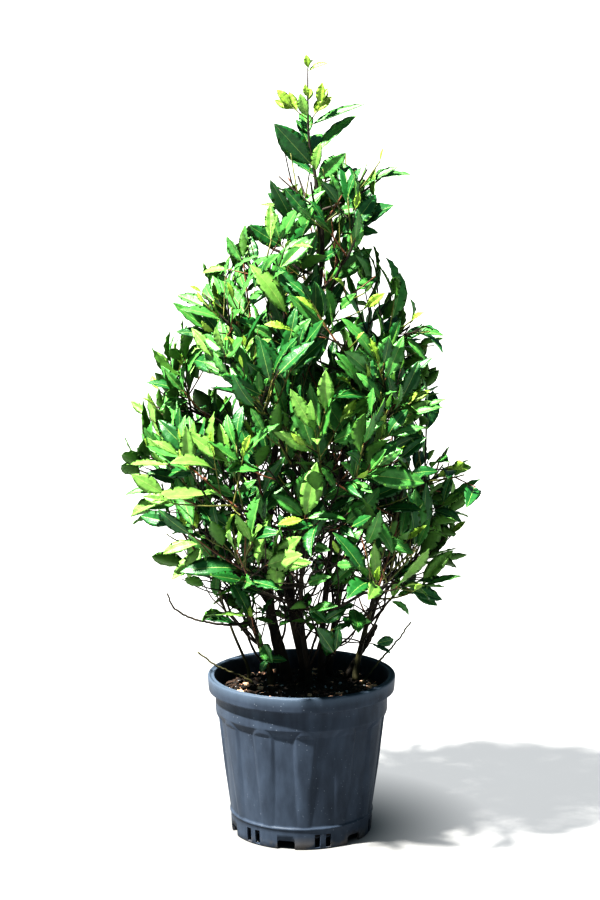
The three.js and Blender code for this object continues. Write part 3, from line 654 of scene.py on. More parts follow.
# Rings of masses: name, height, count, and the first one's turn
TIERS = [("top", 1030, 3, 8), ("upper", 925, 4, 50), ("high", 815, 5, 5)]
TIERS += [("middle", 700, 5, 35), ("low", 580, 6, 0), ("skirt", 442, 5, 20)]
TIER_STEP = 16
MASS_INSET = 0.7
TIP = "leaves_tip"
TIP_CENTRE = 1135
TIP_DEPTH = 24
TIP_REACH = 125
TIP_DROP = 30
TIP_ROUTE = [(12.3, 0, 1096), (10, 0, 1134), (9.6, -1, 1168), (9.5, 0, 1212)]
TIP_STEPS = 10
DIRECT_REACH = 110
LEAST_RISE = 0.3
START_SPACING = 14
START_SHARES = [0.25 + 0.03 * i for i in range(24)]
WAY_SHARES = [0.15 + 0.1 * k for k in range(9)]
WAY_CLEARANCE = 5
BOUGH_END = 34
BOUGH_SAG = 0.08
BOUGH_STEPS = 5
BOUGH_RADIUS = (3.4, 2)
SHOOT_RADIUS = (2.3, 1.6)
SHOOT_STEPS = 3
SHOOT_MIDDLE = 0.55
SHOOT_BULGE = 4
SHOOT_OUT = 0.25
SHOOT_RISE = 14


class Curve:
    """A centripetal Catmull-Rom curve through points, walked by its length."""

    DIVISIONS = 200

    def __init__(self, points):
        self.points = np.array(points, float)
        self.shares = np.linspace(0, 1, self.DIVISIONS + 1)
        walked = np.array([self.raw(t) for t in self.shares])
        steps = np.linalg.norm(np.diff(walked, axis=0), axis=1)
        self.lengths = np.concatenate([[0], np.cumsum(steps)])
        self.length = self.lengths[-1]

    def raw(self, t):
        p = self.points
        place = (len(p) - 1) * t
        i = min(int(place), len(p) - 2)
        weight = place - i
        before = p[i - 1] if i > 0 else 2 * p[0] - p[1]
        after = p[i + 2] if i + 2 < len(p) else 2 * p[-1] - p[-2]
        a, b = p[i], p[i + 1]
        d0, d1, d2 = (np.sqrt(np.linalg.norm(v)) for v in (a - before, b - a, after - b))
        t1 = ((a - before) / d0 - (b - before) / (d0 + d1) + (b - a) / d1) * d1
        t2 = ((b - a) / d1 - (after - a) / (d1 + d2) + (after - b) / d2) * d1
        square = -3 * a + 3 * b - 2 * t1 - t2
        cube = 2 * a - 2 * b + t1 + t2
        return a + t1 * weight + square * weight**2 + cube * weight**3

    def spaced(self, steps):
        shares = np.interp(np.linspace(0, self.length, steps + 1), self.lengths, self.shares)
        return np.array([self.raw(t) for t in shares])


class Line:
    """A limb's centreline: points, the radius at each, and a finer drawing of both."""

    def __init__(self, route, radius, steps, flare=0.0):
        curve = Curve(route)
        self.flare, self.ends, self.length = flare, radius, curve.length
        self.points = curve.spaced(steps)
        self.radii = self.radius_at(np.linspace(0, 1, steps + 1))
        fine = max(6, int(curve.length / FINE_STEP))
        self.fine_points = curve.spaced(fine)
        self.fine_radii = self.radius_at(np.linspace(0, 1, fine + 1))

    def radius_at(self, t):
        flare = self.flare * np.exp(-t * self.length / FLARE_LENGTH)
        return mix(self.ends[0], self.ends[1], t**STEM_TAPER) + flare

    def at(self, t):
        """The point and the tangent at a share of the line."""
        x = t * (len(self.points) - 1)
        i = min(int(x), len(self.points) - 2)
        return mix(self.points[i], self.points[i + 1], x - i), unit(self.points[i + 1] - self.points[i])


class Limb:
    """A stem, a bare limb or a bough, named as its solid."""

    def __init__(self, name, kind, route, radius, steps, flare=0.0):
        self.name, self.kind = name, kind
        self.line = Line(route, radius, steps, flare)


class Mass:
    """A mass of foliage: its middle, the way out of the crown, and the crown's depth beyond its middle."""

    def __init__(self, name, centre, out, depth):
        self.name, self.centre, self.out, self.depth = name, np.array(centre, float), out, depth
        self.limb = self.shoot = self.start = None
        self.from_tip = False


def clearance(point, line):
    """The shortest distance from a point to a line's surface."""
    a, b = line.points[:-1], line.points[1:]
    along_part = np.einsum("ij,ij->i", point - a, b - a) / np.einsum("ij,ij->i", b - a, b - a)
    nearest = a + (b - a) * np.clip(along_part, 0, 1)[:, None]
    return float(np.min(np.linalg.norm(nearest - point, axis=1) - line.radii[:-1]))


def crown_at(z):
    """The crown's middle and radius at a height, or at each of several."""
    left, right = (np.interp(z, CROWN[:, 0], CROWN[:, side]) for side in (1, 2))
    return (right - left) / 2, (right + left) / 2


def standing(route, *heights):
    """A route that first rises straight from its place on the soil, through some heights."""
    (x, y), *rest = route
    return [(x, y, SOIL_TOP + height) for height in heights] + rest


def first_limbs():
    """The stems and bare limbs, and the dead side branch of the left stem."""
    made = []
    for name, (route, radius) in STEMS.items():
        steps = LEADER_STEPS if name == "stem_leader" else STEM_STEPS
        route = standing(route, GAP, FOOT_STRAIGHT)
        made.append(Limb(name, "stem", route, radius, steps, radius[0] * STEM_FLARE))
    for name, (route, radius) in BARE.items():
        made.append(Limb(name, "bare", standing(route, GAP), radius, BARE_STEPS, BARE_FLARE))
    parent = next(limb for limb in made if limb.name == "stem_left")
    route = [parent.line.at(BARE_SHARE)[0], *BARE_ROUTE]
    return made + [Limb("branch_bare_left", "bare", route, BARE_RADIUS, BARE_STEPS)]


def first_masses():
    made = [Mass(TIP, (crown_at(TIP_CENTRE)[0], 0, TIP_CENTRE), np.zeros(3), TIP_DEPTH)]
    for name, height, count, turn in TIERS:
        for i in range(count):
            azimuth = math.radians(turn + 360 * i / count)
            out = np.array([math.cos(azimuth), math.sin(azimuth), 0])
            step = (TIER_STEP if i % 2 else -TIER_STEP) if count > 3 else 0
            middle, radius = crown_at(height + step)
            centre = np.array([middle, 0, height + step]) + out * MASS_INSET * radius
            made.append(Mass(f"leaves_{name}_{i + 1}", centre, out, radius - MASS_INSET * radius))
    return made


limbs = first_limbs()
stems = [limb for limb in limbs if limb.kind == "stem"]
masses = first_masses()
starts = []


def limb_named(name):
    return next(limb for limb in limbs if limb.name == name)


def give_tips():
    """Gives each stem's tip the nearest mass within reach."""
    for stem in stems:
        tip = stem.line.points[-1]
        free = [mass for mass in masses if not mass.limb and mass.centre[2] > tip[2] - TIP_DROP]
        nearest = min(free, key=lambda mass: np.linalg.norm(mass.centre - tip))
        if np.linalg.norm(nearest.centre - tip) <= TIP_REACH:
            nearest.limb, nearest.start, nearest.from_tip = stem, tip, True


def way_is_clear(point, mass, limb):
    lines = [other.line for other in limbs if other is not limb]
    lines += [other.shoot for other in masses if other.shoot]
    places = [mix(point, mass.centre, share) for share in WAY_SHARES]
    return all(clearance(place, line) >= WAY_CLEARANCE for place in places for line in lines)


def find_start(mass):
    """The nearest place on a stem, lower than the mass, that no other bough or shoot has taken."""
    places = []
    for stem in stems:
        for share in START_SHARES:
            point = stem.line.at(share)[0]
            places.append((np.linalg.norm(mass.centre - point), point, stem))
    for away, point, stem in sorted(places, key=lambda place: place[0]):
        if mass.centre[2] - point[2] <= LEAST_RISE * away:
            continue
        if any(np.linalg.norm(start - point) <= START_SPACING for start in starts):
            continue
        if way_is_clear(point, mass, stem):
            return point, stem, away
    raise ValueError(mass.name + " has no start")


def join_mass(mass):
    """Gives a mass its limb, which is a bough of its own far out, and the shoot that runs up through it."""
    if not mass.from_tip:
        mass.start, mass.limb, away = find_start(mass)
        starts.append(mass.start)
        if away > DIRECT_REACH:
            end = mass.start + (mass.centre - mass.start) * (1 - BOUGH_END / away)
            bend = mix(mass.start, end, 0.5) - UP * BOUGH_SAG * away
            name = mass.name.replace("leaves", "bough")
            mass.limb = Limb(name, "bough", [mass.start, bend, end], BOUGH_RADIUS, BOUGH_STEPS)
            limbs.append(mass.limb)
            mass.start, mass.from_tip = end, True
    start = mass.start
    if mass.from_tip:
        start = start + mass.limb.line.at(1)[1] * GAP
    middle = mix(start, mass.centre, SHOOT_MIDDLE) + mass.out * SHOOT_BULGE
    route = [start, middle, mass.centre + mass.out * SHOOT_OUT * mass.depth + UP * SHOOT_RISE]
    if mass.name == TIP:
        route = [start, *TIP_ROUTE]
    mass.shoot = Line(route, SHOOT_RADIUS, TIP_STEPS if mass.name == TIP else SHOOT_STEPS)


give_tips()
for mass in masses:
    join_mass(mass)
CENTRES = np.array([mass.centre for mass in masses])

# Twigs: side twigs by the golden angle, finer twigs on them, and bare twigs low down
SHOOT, SIDE, FINER, LOW, LOW_FINER = range(5)
OUTLINE_LUMPS = 0.13
OUTLINE_SHIFT = 0.25
TOP_CLEARANCE = 4
FIRST_TWIG = 1000
TWIG_POINTS = 5
TWIG_INSET = 16
TWIG_CLEARANCE = 3.5
OWN_SLACK = 24
INNER_SLACK = 80
LENGTH_SPREAD = (0.9, 1.1)
TWIG_LIFT = (0.04, 0.22)
# Rows of share and radius along the shoot of a mass, and along the one at the crown's tip
SHOOT_RADII = [(0, 2.3), (1, 1.3)]
TIP_RADII = [(0, 2.3), (0.6, 1.3), (1, 0.7)]
SIDE_COUNTS = {"tip": 0, "top": 3, "upper": 5}
SIDE_COUNT = 7
SIDE_SHARES = (0.08, 0.98)
SIDE_TURN = 40
FORK_SHARES = (0.3, 0.85)
FORK_TURN = 150
# How many finer twigs a side twig has when it is longer than each length
SIDE_FORKS = [(70, 3), (45, 2), (0, 0)]
Kind = namedtuple("Kind", "lengths radii tilt lean level")
SIDE_TWIG = Kind((112, 96, 80, 66, 52, 38), (1.5, 1.0), (36, 74), 0.3, SIDE)
SIDE_FORK = Kind((60, 46, 33), (1.1, 0.75), (32, 58), 0.25, FINER)
# Twigs straight from the stems and boughs, which fill the crown between the masses
INNER_TWIG = Kind((120, 95, 74, 56, 42), (1.6, 1.0), (35, 65), 0.15, SIDE)
INNER_FORK = SIDE_FORK._replace(lengths=(62, 48, 34))
INNER_LOW, INNER_HIGH = 455, 900
INNER_STEP = 62
INNER_AHEAD = 50
INNER_SHARES = (0.05, 0.98)
INNER_TURN = 70
INNER_FORKS = 2
# Long bare twigs low down, which fan out from the stems to the lowest foliage and fork in every direction
BUD_STEP = 17
BUD_TURN = 0.19
LOW_TWIGS = 14
LOW_FROM, LOW_TO = 246, 520
LOW_SHARES = (0.02, 0.66)
LOW_LENGTHS = (220, 175, 140, 105, 75)
LOW_SPREAD = (0.85, 1.1)
LOW_RADIUS = (2.0, 0.9)
STEMS_MIDDLE = 30
LOW_SCATTER = 60
LOW_BEND = 0.02
LOW_FORKS = [(100, 5), (0, 3)]
LOW_INSET = 14
LOW_CLEARANCE = 1.8
LOW_RISE = (0.6, 2.4)
LOW_FINER_RADIUS = (1.2, 0.65)
LOW_FINER_LENGTH = (35, 105)
LOW_FINER_SHARES = (0.15, 0.9)
LOW_FINER_TILT = (28, 80)
LOW_FINER_TURN, LOW_FINER_TURN_MORE = 130, 180
LOW_FINER_LEAN = 0.12
LOW_FINER_BEND = 0.01
LOW_FINER_CLEARANCE = 1.6
POT_REACH = 105
CROWN_FROM = 300
SOIL_CLEARANCE = 12

rng = np.random.default_rng(4)


class Twig:
    at = Line.at

    def __init__(self, points, radii, mass, level):
        self.points, self.radii = np.asarray(points, float), np.asarray(radii, float)
        self.mass, self.level = mass, level
        self.done = False
        self.length = float(np.sum(np.linalg.norm(np.diff(self.points, axis=0), axis=1)))


def tilted(axis, tilt, turn):
    """A direction tilted from an axis by some degrees, turned round it by others."""
    side = np.array([1.0, 0, 0]) if abs(axis[2]) > 0.9 else UP
    across = unit(np.cross(side, axis))
    other = np.cross(axis, across)
    a, b = math.radians(turn), math.radians(tilt)
    return axis * math.cos(b) + (across * math.cos(a) + other * math.sin(a)) * math.sin(b)


def ascending(direction, lean):
    """A direction leaned towards the light."""
    return unit(direction + UP * lean)


def in_crown(points, inset):
    """Whether points lie inside the crown's lumpy outline by an inset."""
    z = points[:, 2]
    middle, radius = crown_at(z)
    x, y = points[:, 0] - middle, points[:, 1]
    turn = np.arctan2(y, x)
    lumps = 0.5 * np.sin(3 * turn + z / 41 + 1) + 0.4 * np.sin(5 * turn - z / 37)
    lumps += 0.4 * np.sin(z / 15 + 2 * turn)
    reach = radius * (1 + OUTLINE_LUMPS * (lumps - OUTLINE_SHIFT))
    inside = (np.hypot(x, y) <= reach - inset) & (z >= OUTLINE[0][0]) & (z <= HEIGHT - TOP_CLEARANCE)
    return bool(np.all(inside))


def in_space(points, index, slack):
    """Whether points lie in their mass's own space, or past its border by less than a slack."""
    own = CENTRES[index]
    others = np.delete(CENTRES, index, axis=0)
    own_square = np.sum((points - own) ** 2, axis=1)[:, None]
    other_square = np.sum((points[:, None, :] - others[None]) ** 2, axis=2)
    apart = np.linalg.norm(others - own, axis=1)[None]
    return bool(np.all((own_square - other_square) / (2 * apart) < slack))


def nearest_mass(point):
    return int(np.argmin(np.linalg.norm(CENTRES - point, axis=1)))


class Segments:
    """Straight parts of limbs and twigs, for distances and crossings."""

    def __init__(self):
        self.parts = []
        self.packed = None

    def add(self, points, radii, owner):
        thick = np.maximum(radii[:-1], radii[1:])
        self.parts.append((points[:-1], points[1:], thick, np.full(len(thick), owner)))
        self.packed = None

    def arrays(self):
        """The parts' two ends, radii and owners."""
        if self.packed is None:
            self.packed = [np.concatenate(rows) for rows in zip(*self.parts)]
        return self.packed

    def distance(self, points, but):
        """The least distance from any of the points to a surface, leaving out some owners."""
        a, b, r, owner = self.arrays()
        keep = ~np.isin(owner, but)
        a, b, r = a[keep], b[keep], r[keep]
        d = b - a
        t = np.clip(np.einsum("pij,ij->pi", points[:, None] - a[None], d) / np.sum(d * d, axis=1), 0, 1)
        gaps = np.linalg.norm(points[:, None] - (a[None] + t[..., None] * d[None]), axis=2) - r
        return float(gaps.min())


woody = Segments()
for number, limb in enumerate(limbs):
    woody.add(limb.line.points, limb.line.radii, number)
twigs = []


def add_twig(points, radii, mass, level):
    """Adds a twig whose radius goes evenly through the given ones."""
    if len(radii) != len(points):
        radii = np.linspace(*radii, len(points))
    twig = Twig(points, radii, mass, level)
    twigs.append(twig)
    twig.owner = FIRST_TWIG + len(twigs)
    woody.add(twig.points, twig.radii, twig.owner)
    return twig


def curved(start, direction, length, lift):
    """The points of a twig that leaves in a direction and turns up by a share of its length."""
    shares = np.linspace(0, 1, TWIG_POINTS)[:, None]
    return start + direction * length * shares + UP * lift * length * shares**2


def wandering(start, direction, length, bend):
    """Points of a bare twig that turns a little at every bud."""
    points = [np.asarray(start, float)]
    steps = max(4, int(length / BUD_STEP))
    for _ in range(steps):
        direction = unit(direction + rng.normal(0, BUD_TURN, 3) + UP * bend)
        points.append(points[-1] + direction * length / steps)
    return np.array(points)


def places_on(line, count, low, high):
    """Places spread along a line between two shares, each with its number, point and way."""
    for k in range(count):
        yield (k, *line.at(mix(low, high, (k + rng.random()) / count)))


def try_twig(kind, start, leaving, index, near, slack=OWN_SLACK):
    """The longest of a kind's lengths that fits in the crown, clear of other wood."""
    direction = ascending(leaving, kind.lean)
    for length in kind.lengths:
        points = curved(start, direction, length * rng.uniform(*LENGTH_SPREAD), rng.uniform(*TWIG_LIFT))
        tested = points[1:]
        if not in_crown(tested, TWIG_INSET) or not in_space(tested, index, slack):
            continue
        if woody.distance(tested, near) >= TWIG_CLEARANCE:
            return add_twig(points, kind.radii, index, kind.level)
    return None


def forks_of(length, rows):
    return next(count for least, count in rows if length > least)


def fork(parent, count, kind, near):
    """Finer twigs on a twig, to either side of it."""
    for m, start, way in places_on(parent, count, *FORK_SHARES):
        leaving = tilted(way, rng.uniform(*kind.tilt), m * 180 + rng.uniform(0, FORK_TURN))
        try_twig(kind, start, leaving, parent.mass, (parent.owner, *near))


def grow_shoot(mass, index):
    """The shoot that carries a mass, as a twig."""
    rows = TIP_RADII if mass.name == TIP else SHOOT_RADII
    radii = [along(rows, share) for share in np.linspace(0, 1, len(mass.shoot.points))]
    mass.twig = add_twig(mass.shoot.points, radii, index, SHOOT)
    mass.twig.done = mass.name == TIP


def grow_side_twigs(mass, index):
    count = SIDE_COUNTS.get(mass.name.split("_")[1], SIDE_COUNT)
    near = (mass.twig.owner,)
    for k, point, way in places_on(mass.twig, count, *SIDE_SHARES):
        leaving = tilted(way, rng.uniform(*SIDE_TWIG.tilt), k * GOLDEN + SIDE_TURN * rng.random())
        side = try_twig(SIDE_TWIG, point, leaving, index, near)
        if side:
            fork(side, forks_of(side.length, SIDE_FORKS), SIDE_FORK, near)


def grow_inner_twigs(limb, number):
    for k, point, way in places_on(limb.line, int(limb.line.length / INNER_STEP), *INNER_SHARES):
        if not INNER_LOW < point[2] < INNER_HIGH:
            continue
        leaving = tilted(way, rng.uniform(*INNER_TWIG.tilt), k * GOLDEN + INNER_TURN * number)
        index = nearest_mass(point + INNER_AHEAD * ascending(leaving, INNER_TWIG.lean))
        side = try_twig(INNER_TWIG, point, leaving, index, (number,), INNER_SLACK)
        if side:
            fork(side, INNER_FORKS, INNER_FORK, (number,))


def low_place(points, inset):
    """Whether points lie in the crown, or over the pot where they are lower than the crown."""
    low = points[:, 2] < CROWN_FROM
    over_pot = np.hypot(points[low, 0], points[low, 1]) < POT_REACH
    above = np.all(points[:, 2] > SOIL_TOP + SOIL_CLEARANCE)
    return bool(np.all(over_pot) and above) and in_crown(points[~low], inset)


def fork_low(parent, count, number):
    """Finer bare twigs on a bare twig, to all sides."""
    for m in range(count):
        start, way = parent.at(rng.uniform(*LOW_FINER_SHARES))
        tilt = rng.uniform(*LOW_FINER_TILT)
        leaving = tilted(way, tilt, m * LOW_FINER_TURN + rng.uniform(0, LOW_FINER_TURN_MORE))
        leaving = ascending(leaving, LOW_FINER_LEAN)
        points = wandering(start, leaving, rng.uniform(*LOW_FINER_LENGTH), LOW_FINER_BEND)
        clear = low_place(points, LOW_INSET + 2)
        if clear and woody.distance(points[1:], (parent.owner, number)) > LOW_FINER_CLEARANCE:
            add_twig(points, LOW_FINER_RADIUS, None, LOW_FINER)


def grow_low_twigs(stem, number):
    for _, point, _ in places_on(stem.line, LOW_TWIGS, *LOW_SHARES):
        if not LOW_FROM < point[2] < LOW_TO:
            continue
        scatter = rng.normal(0, LOW_SCATTER, 3) * (1, 1, 0)
        outward = unit(np.array([point[0], point[1] - STEMS_MIDDLE, 0]) + scatter)
        direction = unit(outward + UP * rng.uniform(*LOW_RISE))
        for length in LOW_LENGTHS:
            points = wandering(point, direction, length * rng.uniform(*LOW_SPREAD), LOW_BEND)
            if low_place(points, LOW_INSET) and woody.distance(points[2:], (number,)) >= LOW_CLEARANCE:
                fork_low(add_twig(points, LOW_RADIUS, None, LOW), forks_of(length, LOW_FORKS), number)
                break


for index, mass in enumerate(masses):
    grow_shoot(mass, index)
for index, mass in enumerate(masses):
    grow_side_twigs(mass, index)
for number, limb in enumerate(limbs):
    if limb.kind != "bare":
        grow_inner_twigs(limb, number)
for number, stem in enumerate(stems):
    grow_low_twigs(stem, number)

# Leaves: where each one grows. A blade's four corners stand for it: root, left, right and tip
Leaf = namedtuple("Leaf", "bud direction normal length width tone mass")
LEAF_LENGTH = 92
BLADE_ROOT = 0.16
BLADE_HALF = 0.46
BLADE_DROOP = 0.1
EDGES = [(0, 1), (1, 3), (3, 2), (2, 0)]
PARALLEL = 1e-9
MOST_LEAVES = 4000
WOOD_NEAR = 90
SPACING = 15.3
SUN_DENSITY = 0.0006
SPARSE_ABOVE = 1022
INNER_DEPTH = 75
INNER_BARE = 0.35
TWIGGY_BELOW = 600
TWIGGY_BARE = 0.8
TWIGGY_DEPTH = 0.6
LEAF_OVERREACH = (-27, 20)
WIDE_OVERREACH = (-4, 32)
WIDE_BELOW = 740
BOX_SLACK = 9
BOX_LOW = np.array(solid_low) / MM - BOX_SLACK
BOX_HIGH = np.array(solid_high) / MM + BOX_SLACK
SUNWARD = unit((-0.3, -0.2, 1))
LEAN = 0.26
CLUSTER_LEAN = 0.2
LOW_LEAN = 0.1
OUTWARD = 0.2
FLATTENED = (-0.1, 0.5)
FACING_OUT, FACING_SUN = (0.2, 1.0), (0.3, 1.0)
FACING_JITTER = 0.28
EDGE_ON = 0.93
LEAF_SIZES = (1.0, 0.84, 0.68)
# The light on a spray, painted into its tone, is half in the middle at a height, and goes from full to none
# over these distances
LIGHT_HEIGHT = 600
LIGHT_ACROSS, LIGHT_UP = 420, 1000
LIGHT_EFFECT = 0.5
DEEP_UNDER, MID_UNDER = 0.62, 0.96
# The cluster at a twig's end
YOUNG_ODDS, ANY_YOUNG_ODDS = 0.4, 0.1
YOUNG_COUNT, GROWN_COUNT = 4, 2
YOUNG_LENGTHS, GROWN_LENGTHS = (24, 46), (44, 72)
END_WIDTHS = (0.29, 0.40)
END_TILTS = (6, 28)
END_SHARE, END_SHARE_STEP = 0.99, 0.04
TURN_BY_TWIG = 60
# The leaves along a twig
LEAF_STEP = 18.0
LEAST_LEAVES = 3
LEAF_SPREAD = (0.75, 1.12)
LEAF_WIDTHS = (0.28, 0.39)
LEAF_TILTS = (28, 64)
LAST_SHARE, SHARE_RANGE = 0.94, 0.76
LEAF_TURN = 20
OWN_TONE_ODDS = 0.8
# The leaves at the ends of the bare twigs
LOW_LEAF_ODDS = 0.6
LOW_LEAF_COUNT = 3
LOW_LEAF_LENGTHS = (38, 80)
LOW_LEAF_WIDTH = 0.38
LOW_LEAF_TILTS = (15, 55)
LOW_LEAF_TURN = 100
LOW_LEAF_SHARE, LOW_LEAF_STEP = 0.98, 0.12

leaves = []
blade_array = np.zeros((MOST_LEAVES, 4, 3))
blade_middles = np.zeros((MOST_LEAVES, 3))


def leaf_frame(direction, normal):
    side = unit(np.cross(direction, normal))
    return side, np.cross(side, direction)


def blade_corners(bud, direction, normal, length, width):
    side, face = leaf_frame(direction, normal)
    middle = bud + direction * 0.5 * length
    half = BLADE_HALF * width * length
    root = bud + direction * BLADE_ROOT * length
    tip = bud + direction * length - face * BLADE_DROOP * length
    return np.array([root, middle - side * half, middle + side * half, tip])


def segments_hit(a, b, corners):
    """For segments a-b and blades of four corners, which segments pass through which blade."""
    hit = np.zeros((len(a), len(corners)), bool)
    way = (b - a)[:, None]
    for end in (0, 3):
        base = corners[None, :, 1]
        first = corners[None, :, 2] - base
        second = corners[None, :, end] - base
        cross = np.cross(way, second)
        det = np.sum(first * cross, axis=2)
        det = np.where(np.abs(det) < PARALLEL, PARALLEL, det)
        gone = a[:, None] - base
        u = np.sum(gone * cross, axis=2) / det
        other = np.cross(gone, first)
        v = np.sum(way * other, axis=2) / det
        t = np.sum(second * other, axis=2) / det
        hit |= (u >= 0) & (v >= 0) & (u + v <= 1) & (t >= 0) & (t <= 1)
    return hit


def crosses_leaves(corners):
    """Whether a blade is too near another or passes through one."""
    middle = corners.mean(axis=0)
    near = np.nonzero(np.linalg.norm(blade_middles[: len(leaves)] - middle, axis=1) < LEAF_LENGTH)[0]
    if not len(near):
        return False
    spacing = SPACING * (1 + SUN_DENSITY * middle[0])
    if np.min(np.linalg.norm(blade_middles[near] - middle, axis=1)) < spacing:
        return True
    others = blade_array[near]
    a, b = (np.array([corners[edge[end]] for edge in EDGES]) for end in (0, 1))
    if segments_hit(a, b, others).any():
        return True
    a, b = (np.concatenate([others[:, edge[end]] for edge in EDGES]) for end in (0, 1))
    return bool(segments_hit(a, b, corners[None]).any())


def crosses_wood(corners, own):
    a, b, _, owner = woody.arrays()
    middle = corners.mean(axis=0)
    near = (np.linalg.norm((a + b) / 2 - middle, axis=1) < WOOD_NEAR) & (owner != own)
    return bool(near.any() and segments_hit(a[near], b[near], corners[None]).any())


def add_leaf(bud, way, facing, length, width, tone, mass):
    direction, normal = np.asarray(way, float), np.asarray(facing, float)
    corners = blade_corners(bud, direction, normal, length, width)
    blade_array[len(leaves)] = corners
    blade_middles[len(leaves)] = corners.mean(axis=0)
    leaves.append(Leaf(bud, direction, normal, length, width, tone, mass))


def leaf_samples(corners):
    """A blade's corners and places between them, but not its root."""
    root, left, right, tip = corners
    middle = (left + right) / 2
    halves = [(root, middle), (middle, tip), (root, left), (root, right), (tip, left), (tip, right)]
    return np.array([middle, tip, left, right] + [(a + b) / 2 for a, b in halves])


def depth_in_crown(point):
    """How far a point is from the crown's plain outline."""
    middle, radius = crown_at(point[2])
    return radius - math.hypot(point[0] - middle, point[1])


def try_leaf(twig, share, tilt, turn, length, width, tone, lean=LEAN):
    """Grows a leaf on a twig where it stays in the crown and passes through nothing."""
    point, tangent = twig.at(share)
    low = point[2] < TWIGGY_BELOW and lean > LOW_LEAN
    deep = depth_in_crown(point) > INNER_DEPTH * (TWIGGY_DEPTH if low else 1)
    bare = deep and rng.random() < (TWIGGY_BARE if low else INNER_BARE)
    if point[2] > SPARSE_ABOVE or bare:
        return
    outward = np.array([point[0], point[1], 0.0])
    outward = unit(outward) if np.linalg.norm(outward) > 1 else np.array([0, -1.0, 0])
    direction = unit(tilted(tangent, tilt, turn) + UP * lean + outward * OUTWARD)
    direction = unit(direction - outward * (direction @ outward) * rng.uniform(*FLATTENED))
    normal = outward * rng.uniform(*FACING_OUT) + SUNWARD * rng.uniform(*FACING_SUN)
    normal += rng.normal(0, FACING_JITTER, 3)
    if abs(unit(normal) @ direction) > EDGE_ON:
        return
    for size in LEAF_SIZES:
        corners = blade_corners(point, direction, normal, length * size, width)
        samples = leaf_samples(corners)
        inside_box = np.all((samples > BOX_LOW) & (samples < BOX_HIGH))
        overreach = rng.uniform(*(LEAF_OVERREACH if point[2] > WIDE_BELOW else WIDE_OVERREACH))
        if not inside_box or not in_crown(samples, -overreach):
            continue
        if crosses_leaves(corners) or crosses_wood(corners, twig.owner):
            continue
        mass = twig.mass if twig.mass is not None else nearest_mass(corners[3])
        add_leaf(point, direction, normal, length * size, width, tone, mass)
        return


def spray_tone(point):
    """A spray's tone, placed partly as painted light and shade: dark inside the crown, where shade falls,
    and fresher to the lower left, where the light is.
    """
    # Painted shade: sprays deep in the crown take the dark tone
    if depth_in_crown(point) > INNER_DEPTH:
        return DEEP
    # Painted light: sprays toward the lit lower left lean to the fresher tones
    light = np.clip(0.5 - point[0] / LIGHT_ACROSS - (point[2] - LIGHT_HEIGHT) / LIGHT_UP, 0, 1)
    draw = rng.random()
    if draw < DEEP_UNDER - LIGHT_EFFECT * light:
        return DEEP
    return MID if draw < MID_UNDER - LIGHT_EFFECT * light else FRESH


